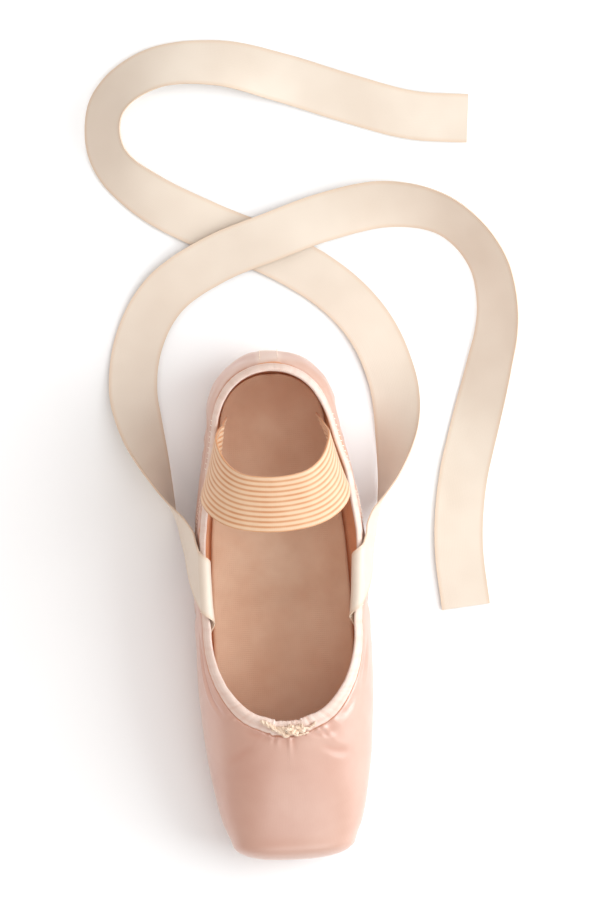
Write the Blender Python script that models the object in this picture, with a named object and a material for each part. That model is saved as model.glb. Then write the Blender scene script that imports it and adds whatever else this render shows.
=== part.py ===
"""Pointe shoe, standing empty on its sole.

Frame: metres, +Z up, X across the shoe, toe platform towards -Y, heel towards
+Y.  The ground is z = 0 and the origin is under the middle of the shoe.

The upper, casing, soles and bands all come from one function of the last,
reach(y, z): how far the outside of the upper stands from the middle plane at
that place along the shoe and at that height.  Lengths below are millimetres;
"d" is always the distance back from the tip of the platform.
"""

import math

import bmesh
import bpy
import numpy as np

MM = 0.001

# ---- driving sizes (mm) --------------------------------------------------
LENGTH = 232.0          # platform to heel back
TIP = -LENGTH / 2       # y of the platform
GAP = 0.3               # clearance between pieces that touch

TOE_ROUND = 9.0         # depth of the platform's rounded edge
TOE_POWER = 2.5
PLATFORM_MIDDLE = 17.5  # height of the platform's middle
HEEL_ROUND = 28.0       # radius of the heel seen from above

WALL_QUARTER = 1.8      # satin on canvas
WALL_BOX = 3.2          # stiffened layers of the box
WALL_PLATFORM = 4.4

PIVOT_TOE = 82.0        # d of the axis that the toe's planes turn about
PIVOT_HEEL = 198.0
RAY_HEIGHT = 22.0

SOLE_FRONT, SOLE_BACK = 33.0, 220.0
SOLE_MARGIN = 8.0       # upper turned in under the sole's edge
SOLE_THICK = 3.1
CASING_WIDTH = 7.2
CASING_THICK = 2.7
INSOLE_THICK = 2.0
INSOLE_FRONT, INSOLE_BACK = 13.0, 221.0
ELASTIC_WIDTH, ELASTIC_THICK = 25.0, 1.2
RIBBON_WIDTH, RIBBON_THICK = 22.0, 0.8

UPPER_PLANES, UPPER_ROWS = 92, 16
CASING_SIDES = 10


# ---- tables --------------------------------------------------------------
class Table:
    """Rows of named columns, read smoothly and without overshoot."""

    def __init__(self, columns, rows):
        self.at = np.array([row[0] for row in rows], float)
        self.column, self.slope = {}, {}
        for i, name in enumerate(columns):
            v = np.array([row[i] for row in rows], float)
            secant = np.diff(v) / np.diff(self.at)
            m = np.zeros(len(v))
            m[0], m[-1] = secant[0], secant[-1]
            for k in range(1, len(v) - 1):
                a, b = secant[k - 1], secant[k]
                m[k] = 0.0 if a * b <= 0 else 2 * a * b / (a + b)
            self.column[name], self.slope[name] = v, m

    def __call__(self, name, at):
        at = np.clip(np.asarray(at, float), self.at[0], self.at[-1])
        v, m = self.column[name], self.slope[name]
        k = np.clip(np.searchsorted(self.at, at, side="right") - 1, 0, len(v) - 2)
        h = self.at[k + 1] - self.at[k]
        t = (at - self.at[k]) / h
        return (
            (2 * t**3 - 3 * t**2 + 1) * v[k]
            + (t**3 - 2 * t**2 + t) * h * m[k]
            + (3 * t**2 - 2 * t**3) * v[k + 1]
            + (t**3 - t**2) * h * m[k + 1]
        )


# The last: half width at its widest height, underside, that height, top, and
# how square the section is above and below it.
LAST = Table(
    ("d", "half", "under", "widest", "top", "upper", "lower"),
    (
        (0.0, 26.6, 6.0, 17.5, 31.0, 2.7, 2.7),
        (9.0, 28.3, 5.0, 17.5, 33.0, 2.6, 2.8),
        (18.0, 31.8, 4.3, 17.8, 36.6, 2.5, 3.0),
        (33.0, 35.0, 3.9, 18.2, 43.2, 2.4, 3.2),
        (48.0, 37.3, 3.6, 18.6, 49.0, 2.3, 3.2),
        (66.0, 38.9, 3.3, 19.0, 55.0, 2.3, 3.2),
        (85.0, 39.8, 3.3, 19.5, 61.0, 2.2, 3.1),
        (112.0, 39.6, 3.3, 20.5, 68.0, 2.1, 2.9),
        (128.0, 39.0, 4.6, 21.5, 71.0, 2.1, 2.6),
        (145.0, 38.0, 6.3, 22.5, 74.0, 2.1, 2.4),
        (160.0, 36.2, 5.8, 22.5, 76.0, 2.1, 2.4),
        (177.0, 33.8, 3.4, 21.5, 78.0, 2.2, 2.5),
        (190.0, 31.2, 3.3, 20.5, 80.0, 2.2, 2.6),
        (204.0, 29.3, 3.3, 20.0, 82.0, 2.2, 2.6),
        (214.0, 29.0, 3.3, 20.0, 82.0, 2.2, 2.6),
        (232.0, 29.0, 5.0, 20.0, 82.0, 2.2, 2.6),
    ),
)

# Back of the heel: how far each height stops short of the full length.
BACK = Table(
    ("z", "short"),
    (
        (0.0, 15.0), (4.0, 10.5), (8.0, 6.2), (13.0, 2.6), (20.0, 0.3),
        (27.0, 0.0), (35.0, 1.2), (45.0, 3.9), (55.0, 7.4), (70.0, 13.0),
    ),
)

# Collar: the throat as half the opening seen from above, then the height of
# the edge along the sides and round the heel.
THROAT = Table(
    ("d", "half"),
    (
        (52.0, -30.0), (62.0, -9.0), (65.5, 0.0), (67.0, 7.5), (70.0, 15.6),
        (74.0, 20.6), (78.0, 24.1), (85.0, 28.7), (92.5, 31.6), (100.0, 33.2),
        (104.0, 33.6), (112.0, 31.0), (125.0, 20.0), (140.0, 0.0),
    ),
)
COLLAR = Table(
    ("d", "height"),
    (
        (80.0, 76.0), (90.0, 60.0), (96.0, 53.0), (101.0, 48.8), (108.0, 47.2),
        (122.0, 46.4), (140.0, 46.4), (158.0, 47.6), (176.0, 49.8),
        (196.0, 52.2), (214.0, 53.8), (232.0, 54.6),
    ),
)
# The wing on +X stands a little off.
WING = Table(
    ("d", "out"),
    ((112.0, 0.0), (132.0, 1.4), (156.0, 3.0), (176.0, 3.0), (194.0, 1.4), (210.0, 0.0)),
)

SOLE = Table(
    ("d", "half", "lift"),
    (
        (33.0, 27.2, 1.3), (46.0, 28.4, 0.5), (60.0, 29.3, 0.0),
        (78.0, 29.3, 0.0), (95.0, 27.4, 0.0), (112.0, 23.4, 0.0),
        (126.0, 18.6, 1.2), (140.0, 15.2, 2.8), (148.0, 14.4, 3.0),
        (162.0, 14.5, 2.2), (177.0, 16.3, 0.1), (182.0, 17.0, 0.0),
        (192.0, 18.0, 0.0), (204.0, 18.6, 0.0), (214.0, 18.6, 0.0),
        (220.0, 18.4, 0.6),
    ),
)

# The elastic's middle line on +X, from inside the quarter to the arch's top.
ELASTIC = Table(
    ("step", "x", "y", "z"),
    (
        (0.0, 24.5, 76.0, 36.0), (1.0, 25.2, 75.0, 44.0), (2.0, 26.0, 73.0, 52.0),
        (3.0, 28.4, 69.0, 62.0), (4.0, 28.6, 63.0, 72.0), (5.0, 25.0, 56.5, 81.5),
        (6.0, 15.5, 51.0, 89.5), (7.0, 0.0, 49.0, 92.5),
    ),
)

# Ribbons on the ground: middle line, and the direction across the ribbon.
# Columns: x, y, z, then the direction's x, y, z.
RIBBON_RIGHT = (
    (47.6, 43.0, 10.5, 0.10, 0.52, 0.85),
    (52.5, 58.0, 9.4, 0.50, 0.10, 0.86),
    (56.5, 78.0, 5.6, 0.86, -0.05, 0.42),
    (56.0, 98.0, 1.2, 1.00, 0.05, 0.02),
    (47.5, 122.0, 1.0, 0.90, 0.40, 0.00),
    (31.0, 142.0, 1.0, 0.72, 0.70, 0.00),
    (6.0, 159.0, 1.0, 0.50, 0.86, 0.00),
    (-22.0, 172.0, 1.0, 0.46, 0.88, 0.00),
    (-50.0, 188.0, 3.6, 0.59, 0.77, 0.26),
    (-68.0, 207.0, 7.6, 0.71, 0.28, 0.62),
    (-67.0, 231.0, 8.2, 0.67, -0.38, 0.66),
    (-46.0, 246.0, 7.4, 0.24, -0.78, 0.58),
    (-16.0, 247.0, 4.9, -0.11, -0.92, 0.38),
    (12.0, 239.0, 1.6, -0.30, -0.95, 0.06),
    (42.0, 228.0, 1.0, -0.34, -0.94, 0.00),
    (70.0, 219.0, 1.0, -0.26, -0.96, 0.00),
    (96.0, 216.0, 1.0, -0.02, -1.00, 0.00),
)
RIBBON_LEFT = (
    (-47.2, 44.0, 10.5, -0.10, 0.52, 0.85),
    (-52.5, 60.0, 9.2, -0.50, 0.10, 0.86),
    (-59.0, 80.0, 5.2, -0.88, 0.12, 0.40),
    (-62.5, 101.0, 1.2, -1.00, 0.06, 0.02),
    (-58.0, 124.0, 1.0, -0.84, 0.54, 0.00),
    (-45.0, 144.0, 2.2, -0.66, 0.75, 0.00),
    (-22.0, 158.0, 3.6, -0.45, 0.89, 0.00),
    (4.0, 167.0, 3.8, -0.30, 0.95, 0.00),
    (30.0, 175.0, 3.0, -0.20, 0.98, 0.02),
    (58.0, 179.0, 4.2, 0.05, 0.95, 0.30),
    (84.0, 172.0, 7.6, 0.42, 0.67, 0.62),
    (101.0, 152.0, 8.0, 0.70, 0.32, 0.64),
    (105.0, 126.0, 7.2, 0.82, -0.03, 0.57),
    (99.0, 100.0, 4.9, 0.90, -0.22, 0.38),
    (92.0, 76.0, 1.6, 0.96, -0.28, 0.06),
    (85.0, 50.0, 1.0, 0.98, -0.20, 0.00),
    (82.0, 22.0, 1.0, 1.00, -0.02, 0.00),
    (84.0, -8.0, 1.0, 0.99, 0.12, 0.00),
)
RIBBON_AT = 128.0       # d where the ribbons cross the collar
RIBBON_LENGTH = 500.0


# ---- the last ------------------------------------------------------------
def smooth(t):
    t = np.clip(t, 0.0, 1.0)
    return t * t * (3 - 2 * t)


def shrink(distance, radius, power):
    """0 at an end of the shoe, 1 once clear of its rounded edge."""
    q = np.clip(1 - distance / radius, 0.0, 1.0)
    return np.maximum(1 - q**power, 0.0) ** (1 / power)


def reach(y, z, side=0.0):
    """Half width of the outside of the upper; 0 outside the last."""
    d = y - TIP
    s = shrink(d, TOE_ROUND, TOE_POWER)
    mid = PLATFORM_MIDDLE
    top = mid + (LAST("top", d) - mid) * s
    under = mid - (mid - LAST("under", d)) * s
    widest = mid + (LAST("widest", d) - mid) * s
    above = z > widest
    q = np.where(
        above,
        (z - widest) / np.maximum(top - widest, 1e-6),
        (widest - z) / np.maximum(widest - under, 1e-6),
    )
    n = np.where(above, LAST("upper", d), LAST("lower", d))
    section = np.maximum(1 - np.maximum(q, 0.0) ** n, 0.0) ** (1 / n)
    heel = shrink(LENGTH / 2 - BACK("short", z) - y, HEEL_ROUND, 2.1)
    half = LAST("half", d) * s * section * heel
    wing = WING("out", d) * smooth((z - 14.0) / 30.0)
    return half + np.where((half > 0) & (np.asarray(side) > 0), wing, 0.0)


def underside(x, y):
    """Height of the upper's underside at a place seen from above."""
    x, y = np.broadcast_arrays(np.asarray(x, float), np.asarray(y, float))
    low, high = np.full(x.shape, -2.0), np.full(x.shape, 18.0)
    for _ in range(30):
        middle = (low + high) / 2
        inside = reach(y, middle, x) > np.abs(x)
        high = np.where(inside, middle, high)
        low = np.where(inside, low, middle)
    return high


def sole_floor(x, d):
    """Bottom of the sole: flat in the middle, its edges rise with the upper."""
    return np.maximum(SOLE("lift", d), underside(x, TIP + d) - GAP - SOLE_THICK)


def wall(y, z):
    """Thickness of the upper: the box and platform are stiffened."""
    d = y - TIP
    above_feather = smooth((z - 6.0) / 8.0)
    box = 1 - smooth((d - 40.0) / 22.0)
    plate = 1 - smooth((d - 3.0) / 14.0)
    return (
        WALL_QUARTER
        + (WALL_BOX - WALL_QUARTER) * box * above_feather
        + (WALL_PLATFORM - WALL_BOX) * plate * above_feather
    )


def sole_half(d, inset=0.0):
    front, back = SOLE_FRONT + inset, SOLE_BACK - inset
    return (
        (SOLE("half", d) - inset)
        * shrink(d - front, 15.0, 2.3)
        * shrink(back - d, 13.0, 2.2)
    )


def profiles(planes, rays=260):
    """Cut the last with planes that fan round toe and heel.

    Gives for each plane the line of the upper from the opening over the sole
    out, round and up to the collar, as points with their distance along it.
    """
    # Places equally far apart round the shoe's outline at mid height.
    yy = TIP + LENGTH * (1 - np.cos(np.linspace(0, math.pi, 1500))) / 2
    xx = reach(yy, np.full_like(yy, 20.0))
    xx[0] = xx[-1] = 0.0
    xx = np.concatenate((xx, -xx[-2:0:-1]))
    yy = np.concatenate((yy, yy[-2:0:-1]))
    step = np.hypot(np.diff(np.append(xx, xx[0])), np.diff(np.append(yy, yy[0])))
    run = np.concatenate(([0.0], np.cumsum(step)))
    at = np.arange(planes) / planes * run[-1]
    ox = np.interp(at, run, np.append(xx, xx[0]))
    oy = np.interp(at, run, np.append(yy, yy[0]))
    ox[0] = 0.0
    spine = np.clip(oy, TIP + PIVOT_TOE, TIP + PIVOT_HEEL)
    size = np.hypot(ox, oy - spine)
    dx, dy = (ox / size)[:, None], ((oy - spine) / size)[:, None]
    dx[np.abs(dx) < 1e-9] = 0.0
    py = spine[:, None]
    side = np.sign(dx)

    angle = np.radians(np.linspace(-87.0, 87.0, rays))[None, :]
    low = np.zeros((planes, rays))
    high = np.full((planes, rays), 150.0)
    for _ in range(30):
        r = (low + high) / 2
        x, y = dx * r * np.cos(angle), py + dy * r * np.cos(angle)
        z = RAY_HEIGHT + r * np.sin(angle)
        inside = reach(y, z, side) > np.abs(x)
        low = np.where(inside, r, low)
        high = np.where(inside, high, r)
    hit = np.stack((dx * low * np.cos(angle), py + dy * low * np.cos(angle),
                    RAY_HEIGHT + low * np.sin(angle)), axis=-1)
    d = hit[..., 1] - TIP
    inner = SOLE_MARGIN
    foot = np.maximum(
        np.abs(hit[..., 0]) - sole_half(d, inner),
        np.maximum(SOLE_FRONT + inner - d, d - SOLE_BACK + inner),
    )
    edge = np.maximum(THROAT("half", d) - np.abs(hit[..., 0]), hit[..., 2] - COLLAR("height", d))
    edge = np.where(angle > 0, edge, -10.0)

    lines = []
    for p in range(planes):
        a = int(np.argmax(foot[p] > 0))
        b = int(np.argmax(edge[p] > 0))
        ta = -foot[p, a - 1] / (foot[p, a] - foot[p, a - 1])
        tb = -edge[p, b - 1] / (edge[p, b] - edge[p, b - 1])
        first = hit[p, a - 1] + ta * (hit[p, a] - hit[p, a - 1])
        last = hit[p, b - 1] + tb * (hit[p, b] - hit[p, b - 1])
        line = np.vstack((first, hit[p, a:b], last, hit[p, b:b + 8]))
        run = np.concatenate(([0.0], np.cumsum(np.linalg.norm(np.diff(line, axis=0), axis=1))))
        lines.append([line, run, run[b - a + 1]])
    # Even out the collar's edge along the shoe.
    tops = np.array([item[2] for item in lines])
    for _ in range(max(1, planes // 40)):
        tops = (np.roll(tops, 1) + 2 * tops + np.roll(tops, -1)) / 4
    for item, top in zip(lines, tops):
        item[2] = top
    return lines


def along(item, s):
    line, run, _ = item
    return np.stack([np.interp(s, run, line[:, k]) for k in range(3)], axis=-1)


def spread(item, start, end, rows, turn=11.0):
    """Distances along a line: closer together where it bends."""
    s = np.linspace(start, end, 160)
    p = along(item, s)
    t = np.diff(p, axis=0)
    t /= np.linalg.norm(t, axis=1)[:, None]
    bend = np.arccos(np.clip((t[1:] * t[:-1]).sum(axis=1), -1, 1))
    for _ in range(12):
        bend = np.convolve(np.pad(bend, 1, mode="edge"), (0.25, 0.5, 0.25), mode="valid")
    cost = np.diff(s).copy()
    cost[1:] += turn * bend
    total = np.concatenate(([0.0], np.cumsum(cost)))
    return np.interp(np.linspace(0, total[-1], rows), total, s)


def grid_normals(grid, closed=True):
    if closed:
        tu = np.roll(grid, -1, axis=0) - np.roll(grid, 1, axis=0)
    else:
        tu = np.gradient(grid, axis=0)
    tv = np.gradient(grid, axis=1)
    n = np.cross(tu, tv)
    return n / np.maximum(np.linalg.norm(n, axis=-1, keepdims=True), 1e-12)


# ---- meshes --------------------------------------------------------------
def material(name, colour, roughness):
    m = bpy.data.materials.new(name)
    m.use_nodes = True
    shader = m.node_tree.nodes["Principled BSDF"]
    shader.inputs["Base Color"].default_value = (*colour, 1.0)
    shader.inputs["Roughness"].default_value = roughness
    shader.inputs["Metallic"].default_value = 0.0
    return m


def add(name, points, faces, mat, angle=40.0):
    mesh = bpy.data.meshes.new(name)
    mesh.from_pydata([tuple(v) for v in np.asarray(points) * MM], [], faces)
    mesh.validate()
    made = bmesh.new()
    made.from_mesh(mesh)
    bmesh.ops.recalc_face_normals(made, faces=made.faces)
    made.to_mesh(mesh)
    made.free()
    mesh.materials.append(mat)
    mesh.shade_smooth()
    mesh.set_sharp_from_angle(angle=math.radians(angle))
    ob = bpy.data.objects.new(name, mesh)
    bpy.context.collection.objects.link(ob)
    return ob


def shell(name, outer, inner, mat):
    """Closed wall between two matching grids that run round the shoe."""
    planes, rows = outer.shape[:2]
    points = np.concatenate((outer.reshape(-1, 3), inner.reshape(-1, 3)))
    other = planes * rows
    faces = []
    for u in range(planes):
        n = (u + 1) % planes
        for v in range(rows - 1):
            a, b, c, e = u * rows + v, n * rows + v, n * rows + v + 1, u * rows + v + 1
            faces.append((a, b, c, e))
            faces.append((other + a, other + e, other + c, other + b))
        top, low = rows - 1, 0
        faces.append((u * rows + top, n * rows + top, other + n * rows + top, other + u * rows + top))
        faces.append((n * rows + low, u * rows + low, other + u * rows + low, other + n * rows + low))
    return add(name, points, faces, mat)


def loft(name, rings, mat, closed=False, angle=40.0):
    """Skin through rings of equal length, capped at both ends unless closed."""
    count, sides = len(rings), len(rings[0])
    faces = []
    for r in range(count if closed else count - 1):
        n = (r + 1) % count
        for k in range(sides):
            j = (k + 1) % sides
            faces.append((r * sides + k, r * sides + j, n * sides + j, n * sides + k))
    if not closed:
        faces.append(tuple(range(sides))[::-1])
        faces.append(tuple((count - 1) * sides + k for k in range(sides)))
    return add(name, np.concatenate(rings), faces, mat, angle)


def slab_ring(x_half, d, columns, bottom, top, chamfer):
    """One section across a sole: top edge to edge, then the bottom back."""
    xs = np.linspace(-1, 1, columns)
    y = TIP + d
    upper = [(x * x_half, y, top(x * x_half)) for x in xs]
    inner = max(x_half - chamfer, 0.5 * x_half)
    lower = [(x * inner, y, bottom(x * inner)) for x in xs[::-1]]
    side = chamfer + 0.1
    right = [(x_half, y, min(bottom(x_half) + side, top(x_half) - 0.6))]
    left = [(-x_half, y, min(bottom(-x_half) + side, top(-x_half) - 0.6))]
    return np.array(upper + right + lower + left)


def stations(start, end, count):
    """Closer together towards both ends."""
    t = np.linspace(0, 1, count)
    eased = 0.45 * t + 0.55 * (1 - np.cos(math.pi * t)) / 2
    return start + (end - start) * eased


def upper_and_casing(satin, cotton):
    lines = profiles(UPPER_PLANES)
    grid = []
    for item in lines:
        end = item[2] - CASING_WIDTH - GAP
        grid.append(along(item, spread(item, 0.0, end, UPPER_ROWS)))
    outer = np.array(grid)
    normal = grid_normals(outer)
    thick = wall(outer[..., 1], outer[..., 2])[..., None]
    shell("upper", outer, outer - normal * thick, satin)

    rows = 7
    strip = np.array([
        along(item, np.linspace(item[2] - CASING_WIDTH, item[2], rows)) for item in lines
    ])
    across = grid_normals(strip)
    rings = []
    for p in range(UPPER_PLANES):
        ring = []
        for k in range(CASING_SIDES):
            a = 2 * math.pi * (k + 0.5) / CASING_SIDES
            c, s = math.cos(a), math.sin(a)
            share = 0.5 + 0.5 * math.copysign(abs(c) ** 0.72, c)
            out = -WALL_QUARTER / 2 + CASING_THICK / 2 * math.copysign(abs(s) ** 0.8, s)
            at = share * (rows - 1)
            place = [np.interp(at, range(rows), strip[p, :, i]) for i in range(3)]
            aim = [np.interp(at, range(rows), across[p, :, i]) for i in range(3)]
            ring.append(np.array(place) + out * np.array(aim))
        rings.append(np.array(ring))
    loft("casing", rings, cotton, closed=True, angle=60.0)
    return strip, across


def outsole(mat):
    rings = []
    for d in stations(SOLE_FRONT + 0.2, SOLE_BACK - 0.2, 34):
        y = TIP + d
        rings.append(slab_ring(
            float(sole_half(d)), d, 7,
            lambda x: float(sole_floor(x, d)),
            lambda x: float(underside(x, y)) - GAP,
            0.8,
        ))
    loft("outsole", rings, mat)


def insole_half(d):
    y = TIP + d
    return float(
        0.80 * LAST("half", d)
        * shrink(d - INSOLE_FRONT, 13.0, 2.4) * shrink(INSOLE_BACK - d, 22.0, 2.1)
    )


def insole(mat):
    def seat(x, y):
        # Clear of the turned-in upper, measured square to its slope.
        e = 0.4
        z = float(underside(x, y))
        sx = (float(underside(x + e, y)) - float(underside(x - e, y))) / (2 * e)
        sy = (float(underside(x, y + e)) - float(underside(x, y - e))) / (2 * e)
        slope = math.sqrt(1 + min(sx * sx + sy * sy, 4.0))
        return z + (WALL_QUARTER + GAP + 0.15) * slope

    rings = []
    for d in stations(INSOLE_FRONT + 0.3, INSOLE_BACK - 0.3, 30):
        y = TIP + d
        rings.append(slab_ring(
            insole_half(d), d, 7,
            lambda x: seat(x, y),
            lambda x: seat(x, y) + INSOLE_THICK,
            0.5,
        ))
    loft("insole", rings, mat)


def knot(strip, across, mat):
    """Drawstring's tied ends, sewn down at the middle of the throat."""
    middle = strip[0, 3] + across[0, 3] * (CASING_THICK / 2 - WALL_QUARTER / 2 + GAP + 1.7)
    out = across[0, 3]
    side = np.array((1.0, 0.0, 0.0))
    up = np.cross(out, side)
    rings, sides = [], 10
    for r in range(1, 10):
        a = math.pi * r / 10
        ring = []
        for k in range(sides):
            b = 2 * math.pi * k / sides
            lump = 1 + 0.10 * math.cos(3 * b + 0.6) + 0.10 * math.cos(3 * a)
            ring.append(
                middle
                + side * 8.0 * -math.cos(a)
                + math.sin(a) * lump * (up * 3.0 * math.cos(b) + out * 1.6 * math.sin(b))
            )
        rings.append(np.array(ring))
    loft("drawstring_knot", rings, mat)


def band_rings(middle, across, width, thick, columns):
    """Sections of a flat band along a line, wide along `across`."""
    tangent = np.gradient(middle, axis=0)
    tangent /= np.linalg.norm(tangent, axis=1)[:, None]
    across = across - tangent * (across * tangent).sum(axis=1)[:, None]
    across /= np.linalg.norm(across, axis=1)[:, None]
    out = np.cross(tangent, across)
    rings = []
    for p, w, n in zip(middle, across, out):
        offsets = np.linspace(-0.5, 0.5, columns) * width
        ring = [p + w * o + n * thick / 2 for o in offsets]
        ring += [p + w * o - n * thick / 2 for o in offsets[::-1]]
        rings.append(np.array(ring))
    return rings


def even(points, count):
    """Points at equal distances along a line through `points`."""
    run = np.concatenate(([0.0], np.cumsum(np.linalg.norm(np.diff(points[:, :3], axis=0), axis=1))))
    at = np.linspace(0, run[-1], count)
    return np.stack([np.interp(at, run, points[:, k]) for k in range(points.shape[1])], axis=-1)


def elastic_line(count):
    fine = np.linspace(0, 7, 240)
    half = np.stack([ELASTIC(k, fine) for k in ("x", "y", "z")], axis=-1)
    other = half[::-1] * (-1, 1, 1)
    line = np.concatenate((half, other[1:]))
    for _ in range(300):
        line[1:-1] = (line[:-2] + 2 * line[1:-1] + line[2:]) / 4
    return even(line, count)


def elastic(mat):
    middle = elastic_line(41)
    # A round arch above the collar; inside the quarters it follows their curve.
    out = np.stack((middle[:, 0], np.zeros(len(middle)), 1.5 * np.maximum(middle[:, 2] - 55.0, 0.0)), axis=-1)
    out[:, 1] += 9.0 * smooth((66.0 - middle[:, 2]) / 16.0)
    out /= np.linalg.norm(out, axis=1)[:, None]
    tangent = np.gradient(middle, axis=0)
    across = np.cross(tangent, out)
    for _ in range(3):
        across[1:-1] = (across[:-2] + 2 * across[1:-1] + across[2:]) / 4
    rings = band_rings(middle, across, ELASTIC_WIDTH, ELASTIC_THICK, 4)
    for ring in rings:
        for k, point in enumerate(ring):
            x, y, z = point
            inner = k < len(ring) // 2
            rim = float(COLLAR("height", y - TIP))
            most = float(reach(y, z, x)) - 3.1 - (ELASTIC_THICK if inner else 0.0)
            most += 12.0 * float(smooth((z - rim - 1.5) / 12.0))
            if z < rim + 13.0:
                point[0] = math.copysign(min(abs(x), most), x)
    loft("elastic", rings, mat, angle=50.0)


def wrap(side, y, a):
    """A ribbon's middle as it lies round the collar: `a` is the distance
    outward from the collar's top, negative inside the shoe."""
    radius = CASING_THICK / 2 + GAP + 0.7 + RIBBON_THICK / 2
    turn = radius * math.pi / 2
    knee = float(COLLAR("height", y - TIP)) - CASING_THICK / 2 + 0.25
    if abs(a) <= turn:
        x = float(reach(y, knee, side)) - WALL_QUARTER / 2 + radius * math.sin(a / radius)
        z = knee + radius * math.cos(a / radius)
    else:
        z = knee - (abs(a) - turn)
        x = float(reach(y, z, side)) - WALL_QUARTER / 2 + math.copysign(radius, a)
        x += 0.004 * max(a - 8.0, 0.0) ** 2
    return np.array((side * x, y, z))


def ribbon_grid(side, rows, columns=3):
    """Middle surface of a ribbon, as sections along it."""
    slant = math.radians(38.0)
    offsets = np.linspace(-0.5, 0.5, columns) * RIBBON_WIDTH
    start_y = TIP + RIBBON_AT
    grid = []
    for a in (-11.0, -7.6, -4.7, *np.linspace(-4.2, 4.2, 9), 4.8, 6.6, 9.0, 12.0, 15.5, 19.0):
        # Sections run along the collar as the ribbon crosses it, then turn
        # square to the ribbon.
        s = a / math.cos(slant)
        square = float(smooth((s - 6.0) / 18.0))
        section = []
        for c in offsets:
            t = s + (1 - square) * c * math.tan(slant)
            section.append(wrap(
                side,
                start_y + t * math.sin(slant) + c * math.cos(slant),
                t * math.cos(slant) - c * math.sin(slant),
            ))
        grid.append(section)
    begun = 38.0
    middle = grid[-1][columns // 2]
    before = grid[-2][columns // 2]
    across = grid[-1][-1] - grid[-1][0]
    across /= np.linalg.norm(across)
    keys = np.array([(*middle, *across)] + [tuple(r) for r in rows])
    # Smooth curve through the rows, leaving in the direction it arrived in.
    m = np.zeros_like(keys)
    m[1:-1] = (keys[2:] - keys[:-2]) / 2
    m[-1] = keys[-1] - keys[-2]
    away = (middle - before) / np.linalg.norm(middle - before)
    m[0] = keys[1] - keys[0]
    m[0, :3] = away * np.linalg.norm(keys[1, :3] - keys[0, :3])
    fine = np.linspace(0, len(keys) - 1, 2400)
    k = np.clip(fine.astype(int), 0, len(keys) - 2)
    t = (fine - k)[:, None]
    curve = (
        (2 * t**3 - 3 * t**2 + 1) * keys[k] + (t**3 - 2 * t**2 + t) * m[k]
        + (3 * t**2 - 2 * t**3) * keys[k + 1] + (t**3 - t**2) * m[k + 1]
    )
    run = np.concatenate(([0.0], np.cumsum(np.linalg.norm(np.diff(curve[:, :3], axis=0), axis=1))))
    curve = even(curve[run <= RIBBON_LENGTH - begun], 45)[1:]
    tangent = np.gradient(curve[:, :3], axis=0)
    tangent /= np.linalg.norm(tangent, axis=1)[:, None]
    across = curve[:, 3:] - tangent * (curve[:, 3:] * tangent).sum(axis=1)[:, None]
    for _ in range(3):
        across[1:-1] = (across[:-2] + 2 * across[1:-1] + across[2:]) / 4
    across /= np.linalg.norm(across, axis=1)[:, None]
    for p, w in zip(curve[:, :3], across):
        section = np.array([p + w * c for c in offsets])
        low = section[:, 2].min() - RIBBON_THICK / 2
        section[:, 2] += max(0.3 - low, 0.0)
        grid.append(section)
    return np.array(grid)


def ribbon(name, side, rows, mat):
    grid = ribbon_grid(side, rows)
    half = grid_normals(grid, closed=False) * RIBBON_THICK / 2
    count, columns = grid.shape[:2]
    other = count * columns
    faces = []
    for r in range(count - 1):
        for k in range(columns - 1):
            a, b = r * columns + k, (r + 1) * columns + k
            # Both faces are split along the same diagonal, the shorter one,
            # so that the band keeps its thickness where it twists.
            one = np.linalg.norm(grid[r, k] - grid[r + 1, k + 1])
            two = np.linalg.norm(grid[r + 1, k] - grid[r, k + 1])
            if one <= two:
                pair = ((a, b, b + 1), (a, b + 1, a + 1))
            else:
                pair = ((a, b, a + 1), (b, b + 1, a + 1))
            for t in pair:
                faces.append(t)
                faces.append(tuple(other + i for i in t[::-1]))
        for k in (0, columns - 1):
            a, b = r * columns + k, (r + 1) * columns + k
            faces.append((a, b, other + b, other + a))
    for r in (0, count - 1):
        for k in range(columns - 1):
            a = r * columns + k
            faces.append((a, a + 1, other + a + 1, other + a))
    points = np.concatenate(((grid + half).reshape(-1, 3), (grid - half).reshape(-1, 3)))
    add(name, points, faces, mat, 50.0)


def main():
    for ob in list(bpy.data.objects):
        bpy.data.objects.remove(ob, do_unlink=True)

    satin = material("pink_satin", (0.80, 0.52, 0.40), 0.35)
    cotton = material("cream_cotton", (0.84, 0.66, 0.56), 0.75)
    suede = material("tan_suede", (0.62, 0.34, 0.18), 0.85)
    canvas = material("insole_canvas", (0.78, 0.58, 0.44), 0.85)
    stretch = material("ribbed_elastic", (0.88, 0.60, 0.38), 0.7)
    tape = material("cream_ribbon", (0.88, 0.76, 0.64), 0.55)

    strip, across = upper_and_casing(satin, cotton)
    outsole(suede)
    insole(canvas)
    knot(strip, across, cotton)
    elastic(stretch)
    ribbon("ribbon_right", 1.0, RIBBON_RIGHT, tape)
    ribbon("ribbon_left", -1.0, RIBBON_LEFT, tape)


main()
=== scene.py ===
"""Looks of the pointe shoe: satin upper, casing, drawstring knot, suede sole,
canvas insole, ribbed elastic and loose ribbons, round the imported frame.

The shape functions are those of the part's own source: millimetres, and "d"
is the distance back from the tip of the platform.
"""

import math

import bmesh
import bpy
import numpy as np
from mathutils import Matrix, Vector, noise


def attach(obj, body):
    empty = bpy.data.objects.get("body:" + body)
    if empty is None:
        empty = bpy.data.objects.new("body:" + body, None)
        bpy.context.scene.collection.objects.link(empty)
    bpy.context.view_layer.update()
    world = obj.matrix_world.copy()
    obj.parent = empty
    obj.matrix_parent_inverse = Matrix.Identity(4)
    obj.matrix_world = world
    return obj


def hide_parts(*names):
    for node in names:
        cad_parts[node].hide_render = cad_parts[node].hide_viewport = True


MM = 0.001

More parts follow.
